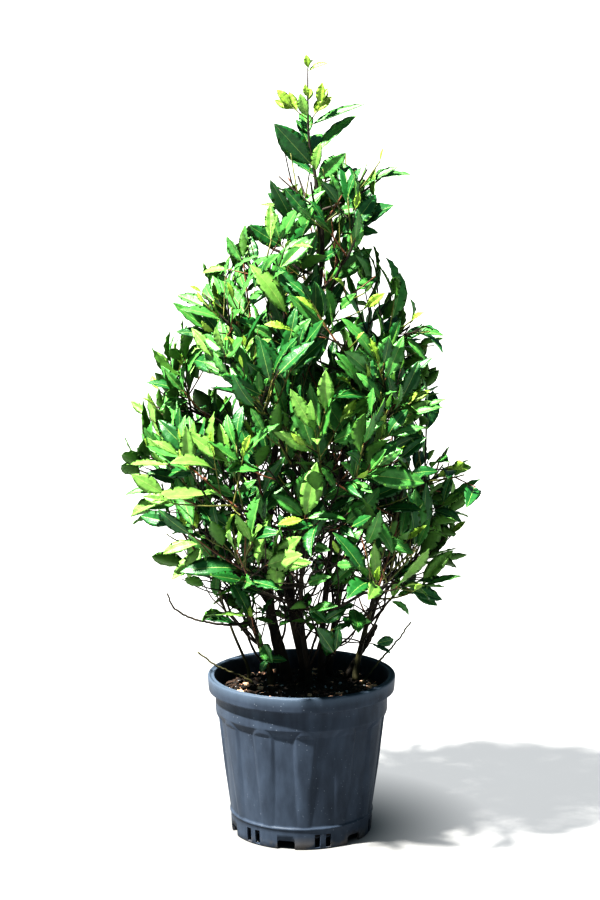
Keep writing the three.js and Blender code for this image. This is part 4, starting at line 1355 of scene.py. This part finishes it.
# Sprays that the photo shows clearly: the limb and height where a twig starts, its end, and its leaves.
# Each leaf has its share of the twig, its way from bud to tip, its width, facing and tone; the tones partly
# paint each leaf's light and shade
SPRAYS = [
    ("stem_left", 318, (-78, -60, 364), [
        (1.0, (-76, -8, 10), 0.32, (0.05, -0.15, 1), FRESH),
        (0.98, (38, -8, -5), 0.36, (0, -0.1, 1), FRESH),
        (0.94, (-4, -6, 21), 0.40, (-0.3, -1, 0.2), YOUNG),
        (0.88, (-36, -4, 77), 0.34, (0.6, -1, 0.1), DEEP),
    ]),
    ("stem_left", 262, (-53, -20, 286), [
        (1.0, (-13, -5, -22), 0.50, (-0.4, -1, 0.3), DEEP),
        (0.95, (30, -10, 1), 0.50, (0.1, -0.9, 0.6), DEEP),
        (0.85, (-14, -10, 24), 0.40, (-0.3, -1, 0.2), FRESH),
    ]),
    ("stem_centre_right", 300, (50, -4, 331), [
        (1.0, (-13, -3, -48), 0.46, (-0.25, -1, 0.15), DEEP),
        (0.92, (26, -10, 12), 0.42, (0.2, -0.8, 0.6), DEEP),
    ]),
    ("stem_front", 430, (-38, -108, 468), [
        (1.0, (-2, -8, -50), 0.58, (0, -1, 0.25), FRESH),
        (0.96, (-30, -12, 22), 0.40, (-0.3, -1, 0.4), FRESH),
        (0.9, (20, -14, 32), 0.36, (0.3, -1, 0.3), YOUNG),
    ]),
    ("stem_right", 340, (90, -20, 388), [(1.0, (34, -3, 56), 0.40, (-0.5, -1, 0.2), DEEP)]),
    ("stem_centre_right", 366, (44, -28, 405), [(1.0, (45, -4, 42), 0.36, (-0.4, -1, 0.3), MID)]),
    ("stem_right", 350, (148, 4, 382), [
        (1.0, (48, -8, 13), 0.38, (0, -0.5, 1), FRESH),
        (0.9, (10, -6, 35), 0.40, (-0.3, -1, 0.3), FRESH),
        (0.8, (38, 6, -22), 0.30, (0, -0.6, 0.8), MID),
    ]),
    ("stem_thin_left", 340, (-134, -14, 424), [(1.0, (-3, -3, -36), 0.50, (0.2, -1, 0.2), MID)]),
    ("stem_left", 535, (-207, -122, 572), [
        (1.0, (-52, -6, 33), 0.42, (-0.4, -1, 0.6), FRESH),
        (0.97, (-68, 6, 12), 0.26, (0, -0.5, 1), MID),
        (0.9, (-66, -8, -20), 0.34, (-0.2, -0.8, 0.8), FRESH),
        (0.7, (-50, -16, -2), 0.38, (-0.1, -0.9, 0.7), MID),
        (0.5, (-12, -14, -34), 0.42, (-0.3, -1, 0.4), YOUNG),
        (0.44, (8, -16, -32), 0.40, (0.3, -1, 0.3), YOUNG),
    ]),
    ("stem_left", 530, (-198, -104, 616), [
        (1.0, (-70, -4, 2), 0.30, (0, -0.6, 1), FRESH),
        (0.95, (-42, -4, 46), 0.34, (-0.6, -1, 0.3), FRESH),
        (0.7, (-56, -14, 22), 0.38, (-0.2, -0.9, 0.6), DEEP),
        (0.5, (-10, -18, 52), 0.36, (0.4, -1, 0.3), MID),
    ]),
    ("stem_left", 440, (-154, -124, 496), [
        (1.0, (-62, -6, -8), 0.34, (0, -0.7, 0.9), FRESH),
        (0.96, (-27, -12, -50), 0.46, (-0.3, -1, 0.4), FRESH),
        (0.85, (-52, -8, -46), 0.36, (-0.4, -1, 0.4), FRESH),
        (0.6, (-30, -22, 34), 0.38, (-0.3, -1, 0.5), MID),
    ]),
    ("stem_front", 560, (4, -182, 546), [
        (1.0, (20, -12, 88), 0.37, (0.1, -1, 0.15), FRESH),
        (0.96, (-40, -12, -6), 0.42, (-0.2, -0.9, 0.6), YOUNG),
        (0.88, (62, -12, 8), 0.30, (0, -0.8, 0.8), MID),
        (0.75, (-46, -22, 42), 0.36, (0.3, -1, 0.4), MID),
    ]),
    ("stem_right", 520, (226, -18, 536), [
        (1.0, (52, -2, 44), 0.24, (-0.3, -0.6, 1), MID),
        (0.95, (10, -8, 52), 0.30, (-0.5, -1, 0.2), DEEP),
        (0.85, (42, -12, 28), 0.36, (-0.2, -0.9, 0.6), FRESH),
        (0.7, (50, -14, -14), 0.34, (0, -0.7, 0.8), DEEP),
    ]),
    ("stem_right", 372, (190, -28, 405), [
        (1.0, (62, -2, 22), 0.20, (-0.1, -0.6, 1), MID),
        (0.97, (46, -6, 66), 0.30, (-0.6, -1, 0.3), FRESH),
        (0.8, (40, -10, -20), 0.34, (0.2, -1, 0.4), DEEP),
    ]),
    ("stem_centre_right", 640, (150, -60, 664), [
        (1.0, (68, 4, 56), 0.22, (-0.3, -0.5, 1), MID),
        (0.96, (48, -8, 50), 0.38, (-0.5, -1, 0.3), FRESH),
        (0.85, (50, -8, -6), 0.34, (0, -0.8, 0.8), DEEP),
        (0.7, (-6, -18, 46), 0.36, (0.3, -1, 0.3), MID),
    ]),
    ("stem_centre_right", 752, (166, -22, 806), [
        (1.0, (56, -2, 5), 0.22, (-0.1, -0.5, 1), MID),
        (0.95, (34, -8, -40), 0.34, (0.3, -1, 0.3), MID),
        (0.85, (40, -10, 26), 0.32, (-0.3, -0.9, 0.5), DEEP),
        (0.7, (10, -16, 50), 0.34, (-0.4, -1, 0.3), DEEP),
    ]),
    ("bough_high_4", 806, (-132, -72, 812), [
        (1.0, (-66, -4, 48), 0.29, (-0.4, -0.6, 0.9), MID),
        (0.96, (-62, -6, 6), 0.30, (-0.2, -0.8, 0.8), DEEP),
        (0.8, (-30, -14, 40), 0.36, (-0.3, -1, 0.4), DEEP),
    ]),
    ("bough_middle_3", 664, (-182, -26, 716), [
        (1.0, (-58, -4, 20), 0.34, (-0.2, -0.6, 1), DEEP),
        (0.95, (-40, -6, 44), 0.32, (-0.5, -0.9, 0.4), MID),
        (0.8, (-50, -10, -12), 0.36, (-0.2, -0.9, 0.7), MID),
    ]),
    ("stem_leader", 972, (121, 0, 1071), [
        (1.0, (4, -2, 20), 0.30, (-1, -0.5, 0.2), YOUNG),
        (0.93, (-6, -4, -48), 0.36, (-0.8, -0.6, 0.2), FRESH),
        (0.75, (70, 6, 18), 0.26, (-0.1, -0.2, 1), MID),
        (0.6, (60, 0, 48), 0.24, (-0.45, -0.2, 0.7), MID),
    ]),
    ("stem_leader", 930, (56, -14, 957), [
        (1.0, (84, -6, 54), 0.38, (-0.35, -1, 0.45), DEEP),
        (0.9, (62, -22, 20), 0.36, (-0.2, -0.8, 0.9), DEEP),
    ]),
    ("stem_leader", 970, (-13, -10, 997), [
        (1.0, (-39, -4, 26), 0.40, (-0.5, -0.8, 0.5), DEEP),
        (0.95, (-52, 2, 12), 0.28, (-0.2, -0.3, 1), FRESH),
        (0.85, (4, -14, 40), 0.38, (-0.2, -1, 0.2), FRESH),
    ]),
    ("stem_leader", 908, (-30, -16, 941), [
        (1.0, (-20, -6, 64), 0.36, (-0.5, -1, 0.3), MID),
        (0.94, (-54, -10, 36), 0.42, (-0.6, -1, 0.5), DEEP),
        (0.85, (16, -18, 48), 0.36, (0.3, -1, 0.3), MID),
    ]),
    ("stem_second", 812, (-20, -98, 842), [
        (1.0, (-52, -10, 86), 0.35, (0.5, -1, 0.35), FRESH),
        (0.92, (44, -16, 50), 0.32, (-0.4, -1, 0.5), FRESH),
    ]),
]

# Leaves on the leader's tip: height of the bud, the way, length, width, facing and tone
TIP_LEAVES = [
    (1212, (-0.1, -0.1, 1.0), 21, 0.5, (0.2, -1, 0), YOUNG),
    (1211, (0.35, 0.1, 1.0), 17, 0.45, (-1, -0.2, 0.3), YOUNG),
    (1208, (28, -4, 13), 33, 0.36, (-0.2, -0.5, 1), YOUNG),
    (1168, (-4, -8, 18), 22, 0.42, (-0.3, -1, 0.2), YOUNG),
    (1162, (5, 12, 22), 26, 0.4, (0.3, -1, 0.5), YOUNG),
    (1137, (-13, -10, 35), 40, 0.42, (-0.4, -1, 0.3), FRESH),
    (1125, (90, 6, 33), 92, 0.27, (-0.33, -0.3, 0.9), MID),
    (1072, (64, 15, 78), 98, 0.27, (-0.72, -0.35, 0.6), MID),
    (1061, (-60, -26, 67), 95, 0.41, (-0.35, -0.9, 0.4), DEEP),
    (1095, (-19, 20, 38), 50, 0.36, (0.5, -0.8, 0.2), DEEP),
    (1040, (43, -16, 42), 66, 0.44, (0.3, -0.9, 0.4), MID),
    (1052, (5, -14, 46), 50, 0.34, (-0.4, -0.9, 0.2), FRESH),
    (1080, (10, 52, 30), 72, 0.38, (0.2, 0.5, 0.8), MID),
    (1048, (-34, 50, 22), 80, 0.38, (-0.3, 0.5, 0.8), DEEP),
    (1110, (-8, 38, 36), 60, 0.38, (-0.1, 0.4, 0.8), MID),
]
# Short side shoots near the tip with young leaves: height, the way, the shoot's length, the leaves' ways
TIP_SHOOTS = [
    (1134, (-24, -3, 18), 30, [(-21, -4, 24), (-28, 5, 13), (-12, 8, 26)]),
    (1128, (20, -4, 27), 32, [(2, -6, 33), (12, 2, 30), (22, -4, 24), (8, 14, 20)]),
]
TIP_SHOOT_RADIUS = (0.9, 0.6)
TIP_SHOOT_LIFT = 0.05
TIP_SHOOT_SHARE, TIP_SHOOT_STEP = 0.98, 0.16
YOUNG_LENGTH = 37
YOUNG_SHORTER = 1.5
YOUNG_WIDTH = 0.4
SPRAY_RADIUS = (1.6, 0.9)
SPRAY_SAG = 0.3


def at_height(points, z):
    """The point at a height on a rising line."""
    return np.array([np.interp(z, points[:, 2], points[:, axis]) for axis in (0, 1)] + [z])


def add_spray(limb_name, height, end, blades):
    """A sagging twig from a limb's point at a height to an end, with its leaves."""
    start = at_height(limb_named(limb_name).line.points, height)
    shares = np.linspace(0, 1, TWIG_POINTS)[:, None]
    away = np.array(end, float) - start
    points = start + away * shares - UP * SPRAY_SAG * np.linalg.norm(away) * shares * (1 - shares)
    twig = add_twig(points, SPRAY_RADIUS, nearest_mass(points[-1]), FINER)
    twig.done = True
    for share, way, width, facing, tone in blades:
        add_leaf(twig.at(share)[0], unit(way), facing, float(np.linalg.norm(way)), width, tone, twig.mass)


def grow_tip():
    """The leaves and short shoots that stand out at the top of the leader."""
    line = np.concatenate([limb_named("stem_leader").line.points, masses[0].shoot.points])
    for z, way, length, width, facing, tone in TIP_LEAVES:
        add_leaf(at_height(line, z), unit(way), facing, length, width, tone, 0)
    for z, way, length, ways in TIP_SHOOTS:
        points = curved(at_height(line, z), unit(way), length, TIP_SHOOT_LIFT)
        shoot = add_twig(points, TIP_SHOOT_RADIUS, 0, FINER)
        shoot.done = True
        for k, leaf_way in enumerate(ways):
            point = shoot.at(TIP_SHOOT_SHARE - TIP_SHOOT_STEP * k)[0]
            facing = (0.1 * k - 0.2, -0.8, 0.5)
            add_leaf(point, unit(leaf_way), facing, YOUNG_LENGTH - YOUNG_SHORTER * k, YOUNG_WIDTH, YOUNG, 0)


def grow_end_leaves(twig, number):
    """A cluster of four young leaves or two grown ones at a twig's end."""
    twig.tone = spray_tone(twig.points[-1])
    young = twig.tone != DEEP and rng.random() < YOUNG_ODDS or rng.random() < ANY_YOUNG_ODDS
    for i in range(YOUNG_COUNT if young else GROWN_COUNT):
        tone = YOUNG if young else min(twig.tone + (rng.random() < 0.5), FRESH)
        length = rng.uniform(*(YOUNG_LENGTHS if young else GROWN_LENGTHS))
        width = rng.uniform(*END_WIDTHS)
        turn = i * GOLDEN + TURN_BY_TWIG * number
        share = END_SHARE - END_SHARE_STEP * i
        try_leaf(twig, share, rng.uniform(*END_TILTS), turn, length, width, tone, CLUSTER_LEAN)


def grow_leaves(twig, number):
    """Leaves along a twig by the golden angle."""
    count = max(LEAST_LEAVES, int(twig.length / LEAF_STEP))
    for i in range(count):
        length = LEAF_LENGTH * rng.uniform(*LEAF_SPREAD)
        tone = twig.tone if rng.random() < OWN_TONE_ODDS else MID
        turn = i * GOLDEN + TURN_BY_TWIG * number + LEAF_TURN
        share = LAST_SHARE - SHARE_RANGE * i / count
        tilt = rng.uniform(*LEAF_TILTS)
        try_leaf(twig, share, tilt, turn, length, rng.uniform(*LEAF_WIDTHS), tone)


def grow_low_leaves(twig):
    """Up to three leaves at the end of a bare twig."""
    if rng.random() < LOW_LEAF_ODDS:
        for i in range(LOW_LEAF_COUNT):
            turn = i * GOLDEN + LOW_LEAF_TURN * rng.random()
            length = rng.uniform(*LOW_LEAF_LENGTHS)
            tilt = rng.uniform(*LOW_LEAF_TILTS)
            tone = rng.choice([DEEP, MID])
            share = LOW_LEAF_SHARE - LOW_LEAF_STEP * i
            try_leaf(twig, share, tilt, turn, length, LOW_LEAF_WIDTH, tone, LOW_LEAN)


for item in SPRAYS:
    add_spray(*item)
grow_tip()
order = [twig for twig in twigs if twig.level < LOW and not twig.done]
order = [order[i] for i in rng.permutation(len(order))]
for number, twig in enumerate(order):
    grow_end_leaves(twig, number)
for number, twig in enumerate(order):
    grow_leaves(twig, number)
for twig in twigs:
    if twig.level >= LOW:
        grow_low_leaves(twig)

# Leaves: their meshes
ROWS_OF_BLADE = 25
SHARES = 0.5 - 0.5 * np.cos(np.pi * np.linspace(0, 1, ROWS_OF_BLADE) ** 0.97)
HALF_WIDTHS = np.sin(np.pi * SHARES**0.94) ** 0.9
HALF_WIDTHS[0], HALF_WIDTHS[-1] = 0.03, 0.012
STALK_SHARE = 0.085
ROWS = ROWS_OF_BLADE + 2
ACROSS = np.array([-1, -0.5, 0, 0, 0.5, 1, 0.5, 0, -0.5])
RIB_SIDE = np.array([0, 0, -1, 1, 0, 0, 0, 0, 0])
UNDERSIDE = np.array([0, 0, 0, 0, 0, 0, 1, 1, 1])
COLUMNS = len(ACROSS)
LEAF_FACES = np.array(ring_faces(ROWS, COLUMNS)[:-2])
LEAF_ENDS = ring_faces(ROWS, COLUMNS)[-2:]
TOP_FACE, RIB_FACE, UNDER_FACE, STALK_FACE = range(4)
FACE_KINDS = [TOP_FACE] * 2 + [RIB_FACE] + [TOP_FACE] * 2 + [UNDER_FACE] * 4
TOOTH = 0.024
WAVES = 4.2
FOLD, YOUNG_FOLD = (0.12, 0.75), (0.3, 0.9)
FOLD_RISE, FOLD_ROUND = 0.9, 0.25
BEND = (-8, 52)
BEND_START = 0.25
TWIST = 16
WAVE = (0.2, 0.8)
WAVE_HEIGHT, WAVE_EDGE = 0.3, 6
QUILT_HEIGHT, QUILT_EDGE = 0.28, 4
RIB_WIDTHS = (0.55, 0.16)
GROWN_LENGTH = 90
THICKNESS = 0.5
THICK_SHARE = 0.4
STALK_RADIUS = 0.55
LEAVES_PER_PIECE = 400
# Of each tone: the materials of a leaf's top, rib, underside and stalk
TONE_MATERIALS = {tone: [tone, RIB, UNDER, STALK] for tone in (DEEP, MID, FRESH)}
TONE_MATERIALS[YOUNG] = [YOUNG, RIB, YOUNG_UNDER, YOUNG]


def leaf_mesh(bud, direction, normal, length, width, tone):
    """A leaf's corners: a stalk, then a blade that is folded, bent down, twisted and waved at its edge."""
    side, face = leaf_frame(direction, normal)
    fold = rng.uniform(*(YOUNG_FOLD if tone == YOUNG else FOLD))
    bend = math.radians(rng.uniform(*BEND))
    twist = math.radians(rng.normal(0, TWIST))
    wave = rng.uniform(*WAVE)
    phase = rng.uniform(0, 2 * math.pi, 2)
    grown = (length / GROWN_LENGTH) ** 0.5
    angle = BEND_START * bend - bend * SHARES
    steps = np.diff(SHARES, prepend=0) * (length * (1 - STALK_SHARE))
    forward = np.cumsum(steps * np.cos(angle))
    rise = np.cumsum(steps * np.sin(angle))
    half = 0.5 * width * length * HALF_WIDTHS
    odd = np.arange(ROWS_OF_BLADE) % 2 == 1
    teeth = 1 + TOOTH * np.where(odd, 1, -1) * (half > 2)
    ribs = np.minimum(mix(*RIB_WIDTHS, SHARES) * grown, 0.5 * half + 0.02)
    v = ACROSS[None, :] * (half * teeth)[:, None] + RIB_SIDE[None, :] * ribs[:, None]
    lift = fold * (FOLD_RISE * np.abs(ACROSS) - FOLD_ROUND * ACROSS**2)[None, :] * half[:, None]
    turns = 2 * np.pi * WAVES * SHARES[:, None] + phase[np.where(ACROSS < 0, 0, 1)][None, :]
    edge = np.minimum(half, WAVE_EDGE)[:, None]
    lift += (ACROSS**2)[None, :] * wave * np.sin(turns) * edge * WAVE_HEIGHT
    quilt = np.where(odd, QUILT_HEIGHT, -QUILT_HEIGHT) * (half > QUILT_EDGE)
    lift += (np.abs(ACROSS) == 0.5)[None, :] * quilt[:, None]
    thick = np.minimum(THICKNESS, THICK_SHARE * half)
    rib_depth = (ACROSS == 0)[None, :] * np.minimum(THICKNESS, half)[:, None]
    lift -= UNDERSIDE[None, :] * (thick[:, None] + rib_depth)
    turn = twist * SHARES[:, None]
    sideways = v * np.cos(turn) - lift * np.sin(turn)
    upward = v * np.sin(turn) + lift * np.cos(turn)
    base = bud + direction * STALK_SHARE * length
    ahead = direction * forward[:, None] + face * rise[:, None]
    way = direction * np.cos(angle)[:, None] + face * np.sin(angle)[:, None]
    above = np.cross(side, way)
    rings = base + ahead[:, None] + side * sideways[..., None] + above[:, None] * upward[..., None]
    stalk = []
    circle = 2 * np.pi * (np.arange(COLUMNS) + 0.5) / COLUMNS
    thin = STALK_RADIUS * grown
    aside, upright = thin * np.cos(circle)[:, None], thin * np.sin(circle)[:, None]
    for share in (-0.02, 0.8):
        stalk.append(bud + direction * STALK_SHARE * length * share - side * aside + face * upright)
    return np.concatenate([np.array(stalk), rings]).reshape(-1, 3)


def make_leaves(name, chosen):
    """One mesh of many leaves, with each face's material by its leaf's tone."""
    count = len(chosen)
    corners = np.concatenate([leaf_mesh(*leaf[:6]) for leaf in chosen])
    per = ROWS * COLUMNS
    offsets = (np.arange(count) * per)[:, None, None]
    quads = (LEAF_FACES[None] + offsets).reshape(-1, 4).tolist()
    ends = [[corner + per * k for corner in end] for k in range(count) for end in LEAF_ENDS]
    kinds = np.tile(FACE_KINDS, ROWS - 1)
    kinds[: 2 * COLUMNS] = STALK_FACE
    indices = np.concatenate([np.array(TONE_MATERIALS[leaf.tone])[kinds] for leaf in chosen]).tolist()
    indices += [STALK, RIB] * count
    return add_object(name, corners, quads + ends, LEAF_MATERIALS, indices)


# Putting the pieces in place
FOOT_TOP = 240
FOOT_SUNK = 3
KINK = 0.55
BARK_SEED = 50
RIDGES = range(2, 7)
RIDGE_DEPTH = 0.022
RIDGE_WANDER, RIDGE_WAVE = 1.1, 31
RIDGE_BREAKS = (9, 40)
KNOT_STEP = 55
KNOT_DEPTH = 0.28
KNOT_LENGTH = 4.5
KNOT_WIDTH = 0.8
OLIVE_LIMBS = ("stem_left", "stem_thin_left", "sprig_left", "whip_right", "stem_right")
STEM_SIDES, OLIVE_SIDES, LIMB_SIDES = 16, 14, 12
TWIG_SIDES = 7
TWIG_STEP = 9
TWIG_NODES = 0.14
TWIG_COLOR_ODDS = (0.3, 0.52, 0.18)
FLOOR_HALF = 30000
FLOOR_DROP = -0.0005
# The floor's weak glow, a painted light that lightens its cast shadow and is left out near the pot as a
# painted contact shadow: how far from the pot's middle it starts and is full, in metres, and how strong
FLOOR_GLOW = (0.1, 0.32, 0.46)


def place(piece, slot, *nodes):
    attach(piece, "root")
    if nodes:
        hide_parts(*nodes)


def bark_relief(line, sides, seed):
    """Soft ridges and knots on a limb, as a scale for its radius by ring and side."""
    noise = np.random.default_rng(seed)
    s = np.linspace(0, line.length, len(line.fine_points))[:, None]
    angle = (2 * np.pi * np.arange(sides) / sides)[None, :]
    relief = np.ones((len(s), sides))
    for k in RIDGES:
        a, b, c = noise.uniform(0, 6.28, 3)
        wander = RIDGE_WANDER * np.sin(s / RIDGE_WAVE + a)
        ridges = np.sin(k * angle + wander + b) * np.cos(s / noise.uniform(*RIDGE_BREAKS) + c)
        relief += RIDGE_DEPTH * ridges
    for _ in range(int(line.length / KNOT_STEP)):
        at, turn = noise.uniform(0, line.length), noise.uniform(0, 6.28)
        apart = (angle - turn + np.pi) % (2 * np.pi) - np.pi
        relief += KNOT_DEPTH * np.exp(-(((s - at) / KNOT_LENGTH) ** 2) - (apart / KNOT_WIDTH) ** 2)
    return relief


def make_limbs(name, chosen, material, sides):
    """One mesh of some limbs, which replaces their solids. Those on the soil start a little below it."""
    joined = Joined()
    for number, limb in enumerate(chosen):
        points = limb.line.fine_points.copy()
        if points[0][2] < FOOT_TOP:
            points[0][2] -= FOOT_SUNK
        if limb.kind == "bare":
            points[2:-1] += np.random.default_rng(number).normal(0, KINK, (len(points) - 3, 3))
        relief = bark_relief(limb.line, sides, BARK_SEED + number)
        joined.add(*tube(points, limb.line.fine_radii, sides, relief), 0)
    place(joined.object(name, [material]), "bark", *[limb.name for limb in chosen])


def make_twigs():
    wood = Joined()
    for twig in twigs:
        color = rng.choice([0, 1, 2], p=TWIG_COLOR_ODDS) if twig.level in (SIDE, FINER) else 0
        fine = Curve(twig.points).spaced(max(4, int(twig.length / TWIG_STEP)))
        radii = np.interp(np.linspace(0, 1, len(fine)), np.linspace(0, 1, len(twig.radii)), twig.radii)
        nodes = 1 + TWIG_NODES * (np.arange(len(fine)) % 2)
        wood.add(*tube(fine, radii * nodes, TWIG_SIDES), color)
    place(wood.object("twigs", [TWIG_BROWN, TWIG_GREEN, TWIG_RED]), "bark")


def make_foliage():
    """The leaves of whole masses in turn, in meshes that each start afresh before a mass would take them
    past a set count of leaves. The leaves of whole masses in turn, in meshes that each stay under the
    limit of triangles.
    """
    groups = [([], [])]
    for index, mass in enumerate(masses):
        grown = [leaf for leaf in leaves if leaf.mass == index]
        if len(groups[-1][1]) + len(grown) > LEAVES_PER_PIECE:
            groups.append(([], []))
        names, chosen = groups[-1]
        names.append(mass.name)
        chosen.extend(grown)
    for number, (names, chosen) in enumerate(groups):
        place(make_leaves(f"foliage_{number + 1}", chosen), "leaves", *names)


def make_floor():
    """A pale floor just under the pot, with a weak painted glow that starts near the pot: it lightens the
    floor's cast shadow, and its absence under the pot is a painted contact shadow.
    """
    corners = [(x * FLOOR_HALF, y * FLOOR_HALF, 0) for x, y in ((-1, -1), (1, -1), (1, 1), (-1, 1))]
    material = mottled("floor_pale", (0.16, 0.16, 0.16), (0.17, 0.17, 0.17), 3, 0.9, 40, 0.0002)
    tree = material.node_tree
    shader = tree.nodes["Principled BSDF"]
    shader.inputs["Emission Color"].default_value = (1, 1, 1, 1)
    away = add_node(tree, "ShaderNodeVectorMath", operation="LENGTH", Vector=coordinates(tree))
    # Painted light: the glow rises from none near the pot to full farther out, leaving a painted contact
    # shadow under the pot
    glow = ranged(tree, away.outputs["Value"], *FLOOR_GLOW)
    tree.links.new(glow, shader.inputs["Emission Strength"])
    floor = add_object("floor", corners, [[0, 1, 2, 3]], [material])
    floor.location.z = FLOOR_DROP
    floor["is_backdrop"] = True


make_camera()
make_sun()
make_sky()
place(make_pot(), "pot", "pot")
place(make_soil(), "soil", "soil")
lines = [limb.line for limb in limbs]
feet = [(*line.points[0][:2], line.radii[0]) for line in lines if line.points[0][2] < FOOT_TOP]
place(make_chips(feet), "soil")
olive = [limb for limb in limbs if limb.name in OLIVE_LIMBS]
brown = [limb for limb in limbs if limb not in olive]
make_limbs("stems_brown", [limb for limb in brown if limb.kind == "stem"], BARK, STEM_SIDES)
make_limbs("stems_olive", olive, BARK_OLIVE, OLIVE_SIDES)
make_limbs("branches_bare", [limb for limb in brown if limb.kind == "bare"], BARK, LIMB_SIDES)
make_limbs("boughs", [limb for limb in brown if limb.kind == "bough"], BARK, LIMB_SIDES)
make_twigs()
make_foliage()
make_floor()

shown_low, shown_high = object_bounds()
boxes = {"solid": (solid_low, solid_high), "shown": (shown_low, shown_high)}
{key: [list(low), list(high)] for key, (low, high) in boxes.items()}
